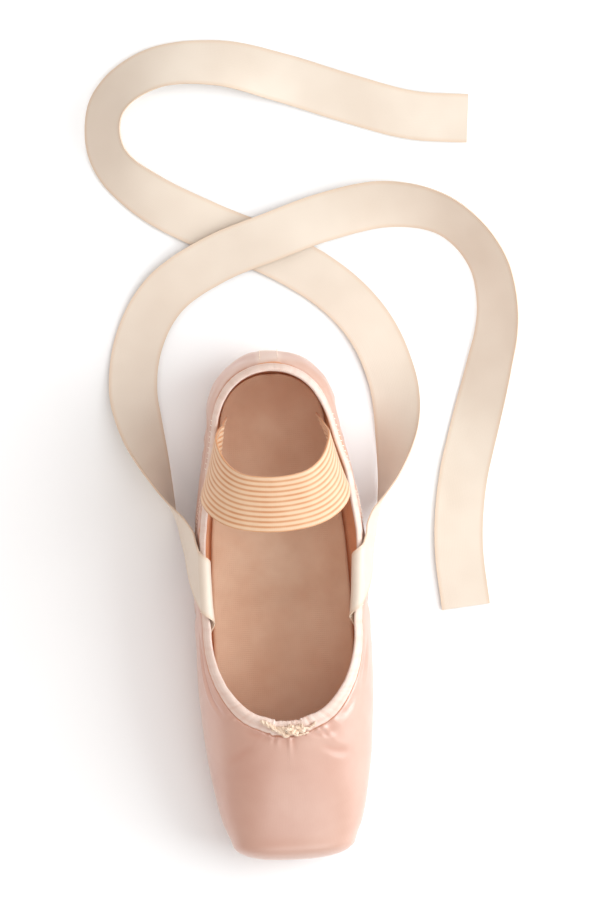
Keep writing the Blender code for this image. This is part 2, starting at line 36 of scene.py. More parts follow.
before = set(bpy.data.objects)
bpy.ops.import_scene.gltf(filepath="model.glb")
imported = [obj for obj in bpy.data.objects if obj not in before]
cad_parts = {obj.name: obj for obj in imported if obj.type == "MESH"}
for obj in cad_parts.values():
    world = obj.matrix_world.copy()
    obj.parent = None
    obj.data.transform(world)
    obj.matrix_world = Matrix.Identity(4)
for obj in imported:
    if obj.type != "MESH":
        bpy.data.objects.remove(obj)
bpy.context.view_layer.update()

# ---- driving sizes (mm) --------------------------------------------------
LENGTH = 232.0          # platform to heel back
TIP = -LENGTH / 2       # y of the platform
GAP = 0.3               # clearance between pieces that touch

TOE_ROUND = 9.0         # depth of the platform's rounded edge
TOE_POWER = 2.5
PLATFORM_MIDDLE = 17.5  # height of the platform's middle
HEEL_ROUND = 28.0       # radius of the heel seen from above

WALL_QUARTER = 1.8      # satin on canvas
WALL_BOX = 3.2          # stiffened layers of the box
WALL_PLATFORM = 4.4

PIVOT_TOE = 82.0        # d of the axis that the toe's planes turn about
PIVOT_HEEL = 198.0
RAY_HEIGHT = 22.0

SOLE_FRONT, SOLE_BACK = 33.0, 220.0
SOLE_MARGIN = 8.0       # upper turned in under the sole's edge
SOLE_THICK = 3.1
CASING_WIDTH = 7.2
CASING_THICK = 2.7
INSOLE_THICK = 2.0
INSOLE_FRONT, INSOLE_BACK = 13.0, 221.0
ELASTIC_WIDTH, ELASTIC_THICK = 25.0, 1.2
RIBBON_WIDTH, RIBBON_THICK = 22.0, 0.8

UPPER_PLANES, UPPER_ROWS = 92, 16
CASING_SIDES = 10


# ---- tables --------------------------------------------------------------
class Table:
    """Rows of named columns, read smoothly and without overshoot."""

    def __init__(self, columns, rows):
        self.at = np.array([row[0] for row in rows], float)
        self.column, self.slope = {}, {}
        for i, name in enumerate(columns):
            v = np.array([row[i] for row in rows], float)
            secant = np.diff(v) / np.diff(self.at)
            m = np.zeros(len(v))
            m[0], m[-1] = secant[0], secant[-1]
            for k in range(1, len(v) - 1):
                a, b = secant[k - 1], secant[k]
                m[k] = 0.0 if a * b <= 0 else 2 * a * b / (a + b)
            self.column[name], self.slope[name] = v, m

    def __call__(self, name, at):
        at = np.clip(np.asarray(at, float), self.at[0], self.at[-1])
        v, m = self.column[name], self.slope[name]
        k = np.clip(np.searchsorted(self.at, at, side="right") - 1, 0, len(v) - 2)
        h = self.at[k + 1] - self.at[k]
        t = (at - self.at[k]) / h
        return (
            (2 * t**3 - 3 * t**2 + 1) * v[k]
            + (t**3 - 2 * t**2 + t) * h * m[k]
            + (3 * t**2 - 2 * t**3) * v[k + 1]
            + (t**3 - t**2) * h * m[k + 1]
        )


# The last: half width at its widest height, underside, that height, top, and
# how square the section is above and below it.
LAST = Table(
    ("d", "half", "under", "widest", "top", "upper", "lower"),
    (
        (0.0, 26.6, 6.0, 17.5, 31.0, 2.7, 2.7),
        (9.0, 28.3, 5.0, 17.5, 33.0, 2.6, 2.8),
        (18.0, 31.8, 4.3, 17.8, 36.6, 2.5, 3.0),
        (33.0, 35.0, 3.9, 18.2, 43.2, 2.4, 3.2),
        (48.0, 37.3, 3.6, 18.6, 49.0, 2.3, 3.2),
        (66.0, 38.9, 3.3, 19.0, 55.0, 2.3, 3.2),
        (85.0, 39.8, 3.3, 19.5, 61.0, 2.2, 3.1),
        (112.0, 39.6, 3.3, 20.5, 68.0, 2.1, 2.9),
        (128.0, 39.0, 4.6, 21.5, 71.0, 2.1, 2.6),
        (145.0, 38.0, 6.3, 22.5, 74.0, 2.1, 2.4),
        (160.0, 36.2, 5.8, 22.5, 76.0, 2.1, 2.4),
        (177.0, 33.8, 3.4, 21.5, 78.0, 2.2, 2.5),
        (190.0, 31.2, 3.3, 20.5, 80.0, 2.2, 2.6),
        (204.0, 29.3, 3.3, 20.0, 82.0, 2.2, 2.6),
        (214.0, 29.0, 3.3, 20.0, 82.0, 2.2, 2.6),
        (232.0, 29.0, 5.0, 20.0, 82.0, 2.2, 2.6),
    ),
)

# Back of the heel: how far each height stops short of the full length.
BACK = Table(
    ("z", "short"),
    (
        (0.0, 15.0), (4.0, 10.5), (8.0, 6.2), (13.0, 2.6), (20.0, 0.3),
        (27.0, 0.0), (35.0, 1.2), (45.0, 3.9), (55.0, 7.4), (70.0, 13.0),
    ),
)

# Collar: the throat as half the opening seen from above, then the height of
# the edge along the sides and round the heel.
THROAT = Table(
    ("d", "half"),
    (
        (52.0, -30.0), (62.0, -9.0), (65.5, 0.0), (67.0, 7.5), (70.0, 15.6),
        (74.0, 20.6), (78.0, 24.1), (85.0, 28.7), (92.5, 31.6), (100.0, 33.2),
        (104.0, 33.6), (112.0, 31.0), (125.0, 20.0), (140.0, 0.0),
    ),
)
COLLAR = Table(
    ("d", "height"),
    (
        (80.0, 76.0), (90.0, 60.0), (96.0, 53.0), (101.0, 48.8), (108.0, 47.2),
        (122.0, 46.4), (140.0, 46.4), (158.0, 47.6), (176.0, 49.8),
        (196.0, 52.2), (214.0, 53.8), (232.0, 54.6),
    ),
)
# The wing on +X stands a little off.
WING = Table(
    ("d", "out"),
    ((112.0, 0.0), (132.0, 1.4), (156.0, 3.0), (176.0, 3.0), (194.0, 1.4), (210.0, 0.0)),
)

SOLE = Table(
    ("d", "half", "lift"),
    (
        (33.0, 27.2, 1.3), (46.0, 28.4, 0.5), (60.0, 29.3, 0.0),
        (78.0, 29.3, 0.0), (95.0, 27.4, 0.0), (112.0, 23.4, 0.0),
        (126.0, 18.6, 1.2), (140.0, 15.2, 2.8), (148.0, 14.4, 3.0),
        (162.0, 14.5, 2.2), (177.0, 16.3, 0.1), (182.0, 17.0, 0.0),
        (192.0, 18.0, 0.0), (204.0, 18.6, 0.0), (214.0, 18.6, 0.0),
        (220.0, 18.4, 0.6),
    ),
)

# The elastic's middle line on +X, from inside the quarter to the arch's top.
ELASTIC = Table(
    ("step", "x", "y", "z"),
    (
        (0.0, 24.5, 76.0, 36.0), (1.0, 25.2, 75.0, 44.0), (2.0, 26.0, 73.0, 52.0),
        (3.0, 28.4, 69.0, 62.0), (4.0, 28.6, 63.0, 72.0), (5.0, 25.0, 56.5, 81.5),
        (6.0, 15.5, 51.0, 89.5), (7.0, 0.0, 49.0, 92.5),
    ),
)

# Ribbons on the ground: middle line, and the direction across the ribbon.
# Columns: x, y, z, then the direction's x, y, z.
RIBBON_RIGHT = (
    (47.6, 43.0, 10.5, 0.10, 0.52, 0.85),
    (52.5, 58.0, 9.4, 0.50, 0.10, 0.86),
    (56.5, 78.0, 5.6, 0.86, -0.05, 0.42),
    (56.0, 98.0, 1.2, 1.00, 0.05, 0.02),
    (47.5, 122.0, 1.0, 0.90, 0.40, 0.00),
    (31.0, 142.0, 1.0, 0.72, 0.70, 0.00),
    (6.0, 159.0, 1.0, 0.50, 0.86, 0.00),
    (-22.0, 172.0, 1.0, 0.46, 0.88, 0.00),
    (-50.0, 188.0, 3.6, 0.59, 0.77, 0.26),
    (-68.0, 207.0, 7.6, 0.71, 0.28, 0.62),
    (-67.0, 231.0, 8.2, 0.67, -0.38, 0.66),
    (-46.0, 246.0, 7.4, 0.24, -0.78, 0.58),
    (-16.0, 247.0, 4.9, -0.11, -0.92, 0.38),
    (12.0, 239.0, 1.6, -0.30, -0.95, 0.06),
    (42.0, 228.0, 1.0, -0.34, -0.94, 0.00),
    (70.0, 219.0, 1.0, -0.26, -0.96, 0.00),
    (96.0, 216.0, 1.0, -0.02, -1.00, 0.00),
)
RIBBON_LEFT = (
    (-47.2, 44.0, 10.5, -0.10, 0.52, 0.85),
    (-52.5, 60.0, 9.2, -0.50, 0.10, 0.86),
    (-59.0, 80.0, 5.2, -0.88, 0.12, 0.40),
    (-62.5, 101.0, 1.2, -1.00, 0.06, 0.02),
    (-58.0, 124.0, 1.0, -0.84, 0.54, 0.00),
    (-45.0, 144.0, 2.2, -0.66, 0.75, 0.00),
    (-22.0, 158.0, 3.6, -0.45, 0.89, 0.00),
    (4.0, 167.0, 3.8, -0.30, 0.95, 0.00),
    (30.0, 175.0, 3.0, -0.20, 0.98, 0.02),
    (58.0, 179.0, 4.2, 0.05, 0.95, 0.30),
    (84.0, 172.0, 7.6, 0.42, 0.67, 0.62),
    (101.0, 152.0, 8.0, 0.70, 0.32, 0.64),
    (105.0, 126.0, 7.2, 0.82, -0.03, 0.57),
    (99.0, 100.0, 4.9, 0.90, -0.22, 0.38),
    (92.0, 76.0, 1.6, 0.96, -0.28, 0.06),
    (85.0, 50.0, 1.0, 0.98, -0.20, 0.00),
    (82.0, 22.0, 1.0, 1.00, -0.02, 0.00),
    (84.0, -8.0, 1.0, 0.99, 0.12, 0.00),
)
RIBBON_AT = 128.0       # d where the ribbons cross the collar
RIBBON_LENGTH = 500.0


# ---- the last ------------------------------------------------------------
def smooth(t):
    t = np.clip(t, 0.0, 1.0)
    return t * t * (3 - 2 * t)


def shrink(distance, radius, power):
    """0 at an end of the shoe, 1 once clear of its rounded edge."""
    q = np.clip(1 - distance / radius, 0.0, 1.0)
    return np.maximum(1 - q**power, 0.0) ** (1 / power)


def reach(y, z, side=0.0):
    """Half width of the outside of the upper; 0 outside the last."""
    d = y - TIP
    s = shrink(d, TOE_ROUND, TOE_POWER)
    mid = PLATFORM_MIDDLE
    top = mid + (LAST("top", d) - mid) * s
    under = mid - (mid - LAST("under", d)) * s
    widest = mid + (LAST("widest", d) - mid) * s
    above = z > widest
    q = np.where(
        above,
        (z - widest) / np.maximum(top - widest, 1e-6),
        (widest - z) / np.maximum(widest - under, 1e-6),
    )
    n = np.where(above, LAST("upper", d), LAST("lower", d))
    section = np.maximum(1 - np.maximum(q, 0.0) ** n, 0.0) ** (1 / n)
    heel = shrink(LENGTH / 2 - BACK("short", z) - y, HEEL_ROUND, 2.1)
    half = LAST("half", d) * s * section * heel
    wing = WING("out", d) * smooth((z - 14.0) / 30.0)
    return half + np.where((half > 0) & (np.asarray(side) > 0), wing, 0.0)


def underside(x, y):
    """Height of the upper's underside at a place seen from above."""
    x, y = np.broadcast_arrays(np.asarray(x, float), np.asarray(y, float))
    low, high = np.full(x.shape, -2.0), np.full(x.shape, 18.0)
    for _ in range(30):
        middle = (low + high) / 2
        inside = reach(y, middle, x) > np.abs(x)
        high = np.where(inside, middle, high)
        low = np.where(inside, low, middle)
    return high


def sole_floor(x, d):
    """Bottom of the sole: flat in the middle, its edges rise with the upper."""
    return np.maximum(SOLE("lift", d), underside(x, TIP + d) - GAP - SOLE_THICK)


def wall(y, z):
    """Thickness of the upper: the box and platform are stiffened."""
    d = y - TIP
    above_feather = smooth((z - 6.0) / 8.0)
    box = 1 - smooth((d - 40.0) / 22.0)
    plate = 1 - smooth((d - 3.0) / 14.0)
    return (
        WALL_QUARTER
        + (WALL_BOX - WALL_QUARTER) * box * above_feather
        + (WALL_PLATFORM - WALL_BOX) * plate * above_feather
    )


def sole_half(d, inset=0.0):
    front, back = SOLE_FRONT + inset, SOLE_BACK - inset
    return (
        (SOLE("half", d) - inset)
        * shrink(d - front, 15.0, 2.3)
        * shrink(back - d, 13.0, 2.2)
    )


def profiles(planes, rays=260):
    """Cut the last with planes that fan round toe and heel.

    Gives for each plane the line of the upper from the opening over the sole
    out, round and up to the collar, as points with their distance along it.
    """
    # Places equally far apart round the shoe's outline at mid height.
    yy = TIP + LENGTH * (1 - np.cos(np.linspace(0, math.pi, 1500))) / 2
    xx = reach(yy, np.full_like(yy, 20.0))
    xx[0] = xx[-1] = 0.0
    xx = np.concatenate((xx, -xx[-2:0:-1]))
    yy = np.concatenate((yy, yy[-2:0:-1]))
    step = np.hypot(np.diff(np.append(xx, xx[0])), np.diff(np.append(yy, yy[0])))
    run = np.concatenate(([0.0], np.cumsum(step)))
    at = np.arange(planes) / planes * run[-1]
    ox = np.interp(at, run, np.append(xx, xx[0]))
    oy = np.interp(at, run, np.append(yy, yy[0]))
    ox[0] = 0.0
    spine = np.clip(oy, TIP + PIVOT_TOE, TIP + PIVOT_HEEL)
    size = np.hypot(ox, oy - spine)
    dx, dy = (ox / size)[:, None], ((oy - spine) / size)[:, None]
    dx[np.abs(dx) < 1e-9] = 0.0
    py = spine[:, None]
    side = np.sign(dx)

    angle = np.radians(np.linspace(-87.0, 87.0, rays))[None, :]
    low = np.zeros((planes, rays))
    high = np.full((planes, rays), 150.0)
    for _ in range(30):
        r = (low + high) / 2
        x, y = dx * r * np.cos(angle), py + dy * r * np.cos(angle)
        z = RAY_HEIGHT + r * np.sin(angle)
        inside = reach(y, z, side) > np.abs(x)
        low = np.where(inside, r, low)
        high = np.where(inside, high, r)
    hit = np.stack((dx * low * np.cos(angle), py + dy * low * np.cos(angle),
                    RAY_HEIGHT + low * np.sin(angle)), axis=-1)
    d = hit[..., 1] - TIP
    inner = SOLE_MARGIN
    foot = np.maximum(
        np.abs(hit[..., 0]) - sole_half(d, inner),
        np.maximum(SOLE_FRONT + inner - d, d - SOLE_BACK + inner),
    )
    edge = np.maximum(THROAT("half", d) - np.abs(hit[..., 0]), hit[..., 2] - COLLAR("height", d))
    edge = np.where(angle > 0, edge, -10.0)

    lines = []
    for p in range(planes):
        a = int(np.argmax(foot[p] > 0))
        b = int(np.argmax(edge[p] > 0))
        ta = -foot[p, a - 1] / (foot[p, a] - foot[p, a - 1])
        tb = -edge[p, b - 1] / (edge[p, b] - edge[p, b - 1])
        first = hit[p, a - 1] + ta * (hit[p, a] - hit[p, a - 1])
        last = hit[p, b - 1] + tb * (hit[p, b] - hit[p, b - 1])
        line = np.vstack((first, hit[p, a:b], last, hit[p, b:b + 8]))
        run = np.concatenate(([0.0], np.cumsum(np.linalg.norm(np.diff(line, axis=0), axis=1))))
        lines.append([line, run, run[b - a + 1]])
    # Even out the collar's edge along the shoe.
    tops = np.array([item[2] for item in lines])
    for _ in range(max(1, planes // 40)):
        tops = (np.roll(tops, 1) + 2 * tops + np.roll(tops, -1)) / 4
    for item, top in zip(lines, tops):
        item[2] = top
    return lines


def along(item, s):
    line, run, _ = item
    return np.stack([np.interp(s, run, line[:, k]) for k in range(3)], axis=-1)


def spread(item, start, end, rows, turn=11.0):
    """Distances along a line: closer together where it bends."""
    s = np.linspace(start, end, 160)
    p = along(item, s)
    t = np.diff(p, axis=0)
    t /= np.linalg.norm(t, axis=1)[:, None]
    bend = np.arccos(np.clip((t[1:] * t[:-1]).sum(axis=1), -1, 1))
    for _ in range(12):
        bend = np.convolve(np.pad(bend, 1, mode="edge"), (0.25, 0.5, 0.25), mode="valid")
    cost = np.diff(s).copy()
    cost[1:] += turn * bend
    total = np.concatenate(([0.0], np.cumsum(cost)))
    return np.interp(np.linspace(0, total[-1], rows), total, s)


def grid_normals(grid, closed=True):
    if closed:
        tu = np.roll(grid, -1, axis=0) - np.roll(grid, 1, axis=0)
    else:
        tu = np.gradient(grid, axis=0)
    tv = np.gradient(grid, axis=1)
    n = np.cross(tu, tv)
    return n / np.maximum(np.linalg.norm(n, axis=-1, keepdims=True), 1e-12)


def stations(start, end, count):
    """Closer together towards both ends."""
    t = np.linspace(0, 1, count)
    eased = 0.45 * t + 0.55 * (1 - np.cos(math.pi * t)) / 2
    return start + (end - start) * eased


def insole_half(d):
    y = TIP + d
    return float(
        0.80 * LAST("half", d)
        * shrink(d - INSOLE_FRONT, 13.0, 2.4) * shrink(INSOLE_BACK - d, 22.0, 2.1)
    )


def even(points, count):
    """Points at equal distances along a line through `points`."""
    run = np.concatenate(([0.0], np.cumsum(np.linalg.norm(np.diff(points[:, :3], axis=0), axis=1))))
    at = np.linspace(0, run[-1], count)
    return np.stack([np.interp(at, run, points[:, k]) for k in range(points.shape[1])], axis=-1)


def elastic_line(count):
    fine = np.linspace(0, 7, 240)
    half = np.stack([ELASTIC(k, fine) for k in ("x", "y", "z")], axis=-1)
    other = half[::-1] * (-1, 1, 1)
    line = np.concatenate((half, other[1:]))
    for _ in range(300):
        line[1:-1] = (line[:-2] + 2 * line[1:-1] + line[2:]) / 4
    return even(line, count)


def wrap(side, y, a):
    """A ribbon's middle as it lies round the collar: `a` is the distance
    outward from the collar's top, negative inside the shoe."""
    radius = CASING_THICK / 2 + GAP + 0.7 + RIBBON_THICK / 2
    turn = radius * math.pi / 2
    knee = float(COLLAR("height", y - TIP)) - CASING_THICK / 2 + 0.25
    if abs(a) <= turn:
        x = float(reach(y, knee, side)) - WALL_QUARTER / 2 + radius * math.sin(a / radius)
        z = knee + radius * math.cos(a / radius)
    else:
        z = knee - (abs(a) - turn)
        x = float(reach(y, z, side)) - WALL_QUARTER / 2 + math.copysign(radius, a)
        x += 0.004 * max(a - 8.0, 0.0) ** 2
    return np.array((side * x, y, z))


def ribbon_grid(side, rows, columns=3):
    """Middle surface of a ribbon, as sections along it."""
    slant = math.radians(38.0)
    offsets = np.linspace(-0.5, 0.5, columns) * RIBBON_WIDTH
    start_y = TIP + RIBBON_AT
    grid = []
    for a in (-11.0, -7.6, -4.7, *np.linspace(-4.2, 4.2, 9), 4.8, 6.6, 9.0, 12.0, 15.5, 19.0):
        # Sections run along the collar as the ribbon crosses it, then turn
        # square to the ribbon.
        s = a / math.cos(slant)
        square = float(smooth((s - 6.0) / 18.0))
        section = []
        for c in offsets:
            t = s + (1 - square) * c * math.tan(slant)
            section.append(wrap(
                side,
                start_y + t * math.sin(slant) + c * math.cos(slant),
                t * math.cos(slant) - c * math.sin(slant),
            ))
        grid.append(section)
    begun = 38.0
    middle = grid[-1][columns // 2]
    before = grid[-2][columns // 2]
    across = grid[-1][-1] - grid[-1][0]
    across /= np.linalg.norm(across)
    keys = np.array([(*middle, *across)] + [tuple(r) for r in rows])
    # Smooth curve through the rows, leaving in the direction it arrived in.
    m = np.zeros_like(keys)
    m[1:-1] = (keys[2:] - keys[:-2]) / 2
    m[-1] = keys[-1] - keys[-2]
    away = (middle - before) / np.linalg.norm(middle - before)
    m[0] = keys[1] - keys[0]
    m[0, :3] = away * np.linalg.norm(keys[1, :3] - keys[0, :3])
    fine = np.linspace(0, len(keys) - 1, 2400)
    k = np.clip(fine.astype(int), 0, len(keys) - 2)
    t = (fine - k)[:, None]
    curve = (
        (2 * t**3 - 3 * t**2 + 1) * keys[k] + (t**3 - 2 * t**2 + t) * m[k]
        + (3 * t**2 - 2 * t**3) * keys[k + 1] + (t**3 - t**2) * m[k + 1]
    )
    run = np.concatenate(([0.0], np.cumsum(np.linalg.norm(np.diff(curve[:, :3], axis=0), axis=1))))
    curve = even(curve[run <= RIBBON_LENGTH - begun], 45)[1:]
    tangent = np.gradient(curve[:, :3], axis=0)
    tangent /= np.linalg.norm(tangent, axis=1)[:, None]
    across = curve[:, 3:] - tangent * (curve[:, 3:] * tangent).sum(axis=1)[:, None]
    for _ in range(3):
        across[1:-1] = (across[:-2] + 2 * across[1:-1] + across[2:]) / 4
    across /= np.linalg.norm(across, axis=1)[:, None]
    for p, w in zip(curve[:, :3], across):
        section = np.array([p + w * c for c in offsets])
        low = section[:, 2].min() - RIBBON_THICK / 2
        section[:, 2] += max(0.3 - low, 0.0)
        grid.append(section)
    return np.array(grid)


# ---- materials -----------------------------------------------------------
def rgb(r, g, b):
    """Screen colour, 0 to 255, as the shader's linear colour."""
    out = []
    for c in (r, g, b):
        c /= 255.0
        out.append(c / 12.92 if c <= 0.04045 else ((c + 0.055) / 1.055) ** 2.4)
    return (*out, 1.0)


class Nodes:
    """Short way to write one material's node tree."""

    def __init__(self, name, **sockets):
        self.material = bpy.data.materials.new(name)
        self.material.use_nodes = True
        self.tree = self.material.node_tree
        self.shader = self.tree.nodes["Principled BSDF"]
        for key, value in sockets.items():
            self.shader.inputs[key.replace("_", " ")].default_value = value
        self.position = None

    def node(self, kind, **values):
        n = self.tree.nodes.new(kind)
        for key, value in values.items():
            setattr(n, key, value)
        return n

    def link(self, a, b):
        self.tree.links.new(a, b)

    def place(self, scale=(1, 1, 1), rotation=(0, 0, 0)):
        coord = self.node("ShaderNodeTexCoord")
        m = self.node("ShaderNodeMapping")
        m.inputs["Scale"].default_value = scale
        m.inputs["Rotation"].default_value = rotation
        self.link(coord.outputs["Object"], m.inputs["Vector"])
        return m.outputs["Vector"]

    def attribute(self, name):
        return self.node("ShaderNodeAttribute", attribute_name=name).outputs["Fac"]

    def uv(self, name="run"):
        return self.node("ShaderNodeUVMap", uv_map=name).outputs["UV"]

    def scaled(self, vector, scale):
        m = self.node("ShaderNodeMapping")
        m.inputs["Scale"].default_value = scale
        self.link(vector, m.inputs["Vector"])
        return m.outputs["Vector"]

    def noise(self, vector, scale, detail=2.0, rough=0.5):
        n = self.node("ShaderNodeTexNoise")
        n.inputs["Scale"].default_value = scale
        n.inputs["Detail"].default_value = detail
        n.inputs["Roughness"].default_value = rough
        self.link(vector, n.inputs["Vector"])
        return n.outputs["Fac"]

    def wave(self, vector, scale, direction="X", distortion=0.0, profile="SIN"):
        n = self.node("ShaderNodeTexWave", wave_type="BANDS", bands_direction=direction, wave_profile=profile)
        n.inputs["Scale"].default_value = scale
        n.inputs["Distortion"].default_value = distortion
        self.link(vector, n.inputs["Vector"])
        return n.outputs["Fac"]

    def math(self, op, a, b=None, clamp=False):
        n = self.node("ShaderNodeMath", operation=op, use_clamp=clamp)
        for i, v in enumerate((a, b)):
            if v is None:
                continue
            if isinstance(v, (int, float)):
                n.inputs[i].default_value = v
            else:
                self.link(v, n.inputs[i])
        return n.outputs[0]

    def range(self, value, low, high, to_low=0.0, to_high=1.0):
        n = self.node("ShaderNodeMapRange")
        n.clamp = True
        for key, v in zip(("From Min", "From Max", "To Min", "To Max"), (low, high, to_low, to_high)):
            n.inputs[key].default_value = v
        self.link(value, n.inputs["Value"])
        return n.outputs["Result"]

    def mix(self, fac, a, b):
        n = self.node("ShaderNodeMix", data_type="RGBA", blend_type="MIX")
        for socket, v in ((n.inputs[0], fac), (n.inputs[6], a), (n.inputs[7], b)):
            if isinstance(v, (int, float)) or isinstance(v, tuple):
                socket.default_value = v
            else:
                self.link(v, socket)
        return n.outputs[2]

    def colour(self, value):
        self.link(value, self.shader.inputs["Base Color"])

    def roughness(self, value):
        self.link(value, self.shader.inputs["Roughness"])

    def bump(self, layers):
        """layers: (height, distance in mm, strength), coarsest first."""
        last = None
        for height, distance, strength in layers:
            n = self.node("ShaderNodeBump")
            n.inputs["Strength"].default_value = strength
            n.inputs["Distance"].default_value = distance * MM
            self.link(height, n.inputs["Height"])
            if last is not None:
                self.link(last, n.inputs["Normal"])
            last = n.outputs["Normal"]
        self.link(last, self.shader.inputs["Normal"])


def satin_material():
    # A soft white gloss over deep pink, as satin's floats give.
    m = Nodes("satin_pink", Roughness=0.42, Sheen_Weight=0.18, Sheen_Roughness=0.4,
              Sheen_Tint=rgb(255, 240, 232), Coat_Weight=1.0, Coat_Roughness=0.40, Coat_IOR=2.0,
              Specular_IOR_Level=0.6)
    where = m.place()
    cloud = m.noise(where, 26.0, 3.0)
    fine = m.noise(where, 170.0, 2.0)
    tone = m.mix(m.range(cloud, 0.35, 0.68), rgb(199, 146, 124), rgb(207, 160, 139))
    tone = m.mix(m.range(fine, 0.3, 0.7, 0.0, 0.16), tone, rgb(190, 132, 108))
    # Painted shade: creases, seam grooves, puckers, tucks and the line along the sole's edge darkened towards deep
    # orange.
    tone = m.mix(m.range(m.attribute("crease_shade"), 0.05, 1.0, 0.0, 0.65), tone, rgb(184, 104, 72))
    # Painted highlight along the ridges of the pleats under the toe.
    tone = m.mix(m.range(m.attribute("fold_highlight"), 0.2, 1.0, 0.0, 0.75), tone, rgb(244, 222, 206))
    tone = m.mix(m.range(m.attribute("pale"), 0.0, 1.0, 0.0, 0.85), tone, rgb(234, 204, 182))
    m.colour(tone)
    m.roughness(m.range(fine, 0.25, 0.75, 0.38, 0.46))
    run = m.uv()
    warp = m.wave(m.scaled(run, (1, 1, 1)), 620.0, "X", 0.4)
    weft = m.wave(m.scaled(run, (1, 1, 1)), 480.0, "Y", 0.8)
    thread = m.math("ADD", m.math("MULTIPLY", warp, 0.55), m.math("MULTIPLY", weft, 0.45))
    slub = m.noise(m.scaled(run, (40, 420, 1)), 3.0, 2.0)
    m.bump([(m.noise(where, 48.0, 2.0), 0.55, 0.35), (slub, 0.10, 0.30), (thread, 0.05, 0.35)])
    return m.material


def canvas_material(name="canvas_lining", lining_tint_and_shade=True):
    m = Nodes(name, Roughness=0.88, Sheen_Weight=0.12, Sheen_Roughness=0.5)
    where = m.place()
    # The lining's tones are deeper orange than the sock's: the cotton's peach tint, with painted shade of the shoe's
    # inside over it.
    a, b = (rgb(214, 146, 106), rgb(226, 168, 132)) if lining_tint_and_shade else (rgb(216, 178, 150), rgb(228, 198, 172))
    tone = m.mix(m.range(m.noise(where, 60.0, 3.0), 0.3, 0.7), a, b)
    tone = m.mix(m.range(m.noise(where, 14.0, 2.0), 0.45, 0.75, 0.0, 0.35), tone, rgb(198, 146, 114))
    m.colour(tone)
    u = m.wave(where, 340.0, "X", 0.9)
    v = m.wave(where, 340.0, "Y", 0.9)
    w = m.wave(where, 340.0, "Z", 0.9)
    m.bump([(m.noise(where, 90.0, 2.0), 0.3, 0.4), (m.math("MULTIPLY", m.math("ADD", u, w), v), 0.10, 0.35)])
    return m.material


def casing_material():
    m = Nodes("cotton_casing", Roughness=0.72, Sheen_Weight=0.30, Sheen_Roughness=0.45, Sheen_Tint=rgb(255, 240, 230))
    where = m.place()
    tone = m.mix(m.range(m.noise(where, 70.0, 3.0), 0.3, 0.7), rgb(226, 200, 186), rgb(234, 213, 202))
    # Painted shade at the tape's lower edge, in its groove and in the ripples' troughs.
    tone = m.mix(m.range(m.attribute("crease_shade"), 0.0, 1.0, 0.0, 0.65), tone, rgb(196, 132, 100))
    m.colour(tone)
    run = m.uv()
    weave = m.math("MULTIPLY", m.wave(run, 330.0, "X", 0.6), m.wave(run, 330.0, "Y", 0.6))
    gather = m.noise(m.scaled(run, (210, 26, 1)), 1.0, 2.0)
    m.bump([(gather, 0.9, 0.5), (weave, 0.10, 0.5)])
    return m.material


def cord_material(name="cotton_cord", tone_a=(224, 192, 164), tone_b=(238, 214, 192)):
    m = Nodes(name, Roughness=0.8, Sheen_Weight=0.25, Sheen_Roughness=0.5)
    where = m.place()
    m.colour(m.mix(m.range(m.noise(where, 380.0, 2.0), 0.3, 0.7), rgb(*tone_a), rgb(*tone_b)))
    twist = m.wave(m.place(rotation=(0.5, 0.4, 0.8)), 420.0, "DIAGONAL", 0.5)
    m.bump([(twist, 0.25, 0.7)])
    return m.material


def suede_material():
    m = Nodes("suede_tan", Roughness=0.9, Sheen_Weight=0.25, Sheen_Roughness=0.6, Sheen_Tint=rgb(255, 214, 176),
              Specular_IOR_Level=0.3)
    where = m.place()
    run = m.attribute("heelward")
    tone = m.mix(m.range(run, 0.28, 0.62), rgb(222, 168, 128), rgb(196, 120, 78))
    tone = m.mix(m.range(m.noise(where, 30.0, 4.0, 0.6), 0.42, 0.72, 0.0, 0.5), tone, rgb(186, 110, 70))
    tone = m.mix(m.range(m.noise(where, 700.0, 2.0), 0.3, 0.75, 0.0, 0.35), tone, rgb(232, 190, 152))
    tone = m.mix(m.attribute("score"), tone, rgb(158, 90, 50))
    tone = m.mix(m.attribute("edge"), tone, rgb(238, 206, 172))
    m.colour(tone)
    m.bump([(m.noise(where, 160.0, 4.0, 0.7), 0.35, 0.5), (m.noise(where, 900.0, 3.0, 0.7), 0.15, 0.8)])
    return m.material


def elastic_material():
    m = Nodes("elastic_ribbed", Roughness=0.66, Sheen_Weight=0.2, Sheen_Roughness=0.5)
    run = m.uv()
    # Painted shade in the grooves between the ribs.
    tone = m.mix(m.range(m.attribute("rib_height_and_shade"), 0.15, 0.8), rgb(206, 140, 92), rgb(232, 196, 162))
    tone = m.mix(m.range(m.noise(m.place(), 120.0, 2.0), 0.3, 0.7, 0.0, 0.2), tone, rgb(242, 212, 178))
    m.colour(tone)
    knit = m.wave(run, 420.0, "X", 0.3)
    fine = m.wave(run, 700.0, "Y", 0.2)
    m.bump([(m.math("MULTIPLY", knit, fine), 0.16, 0.7)])
    return m.material


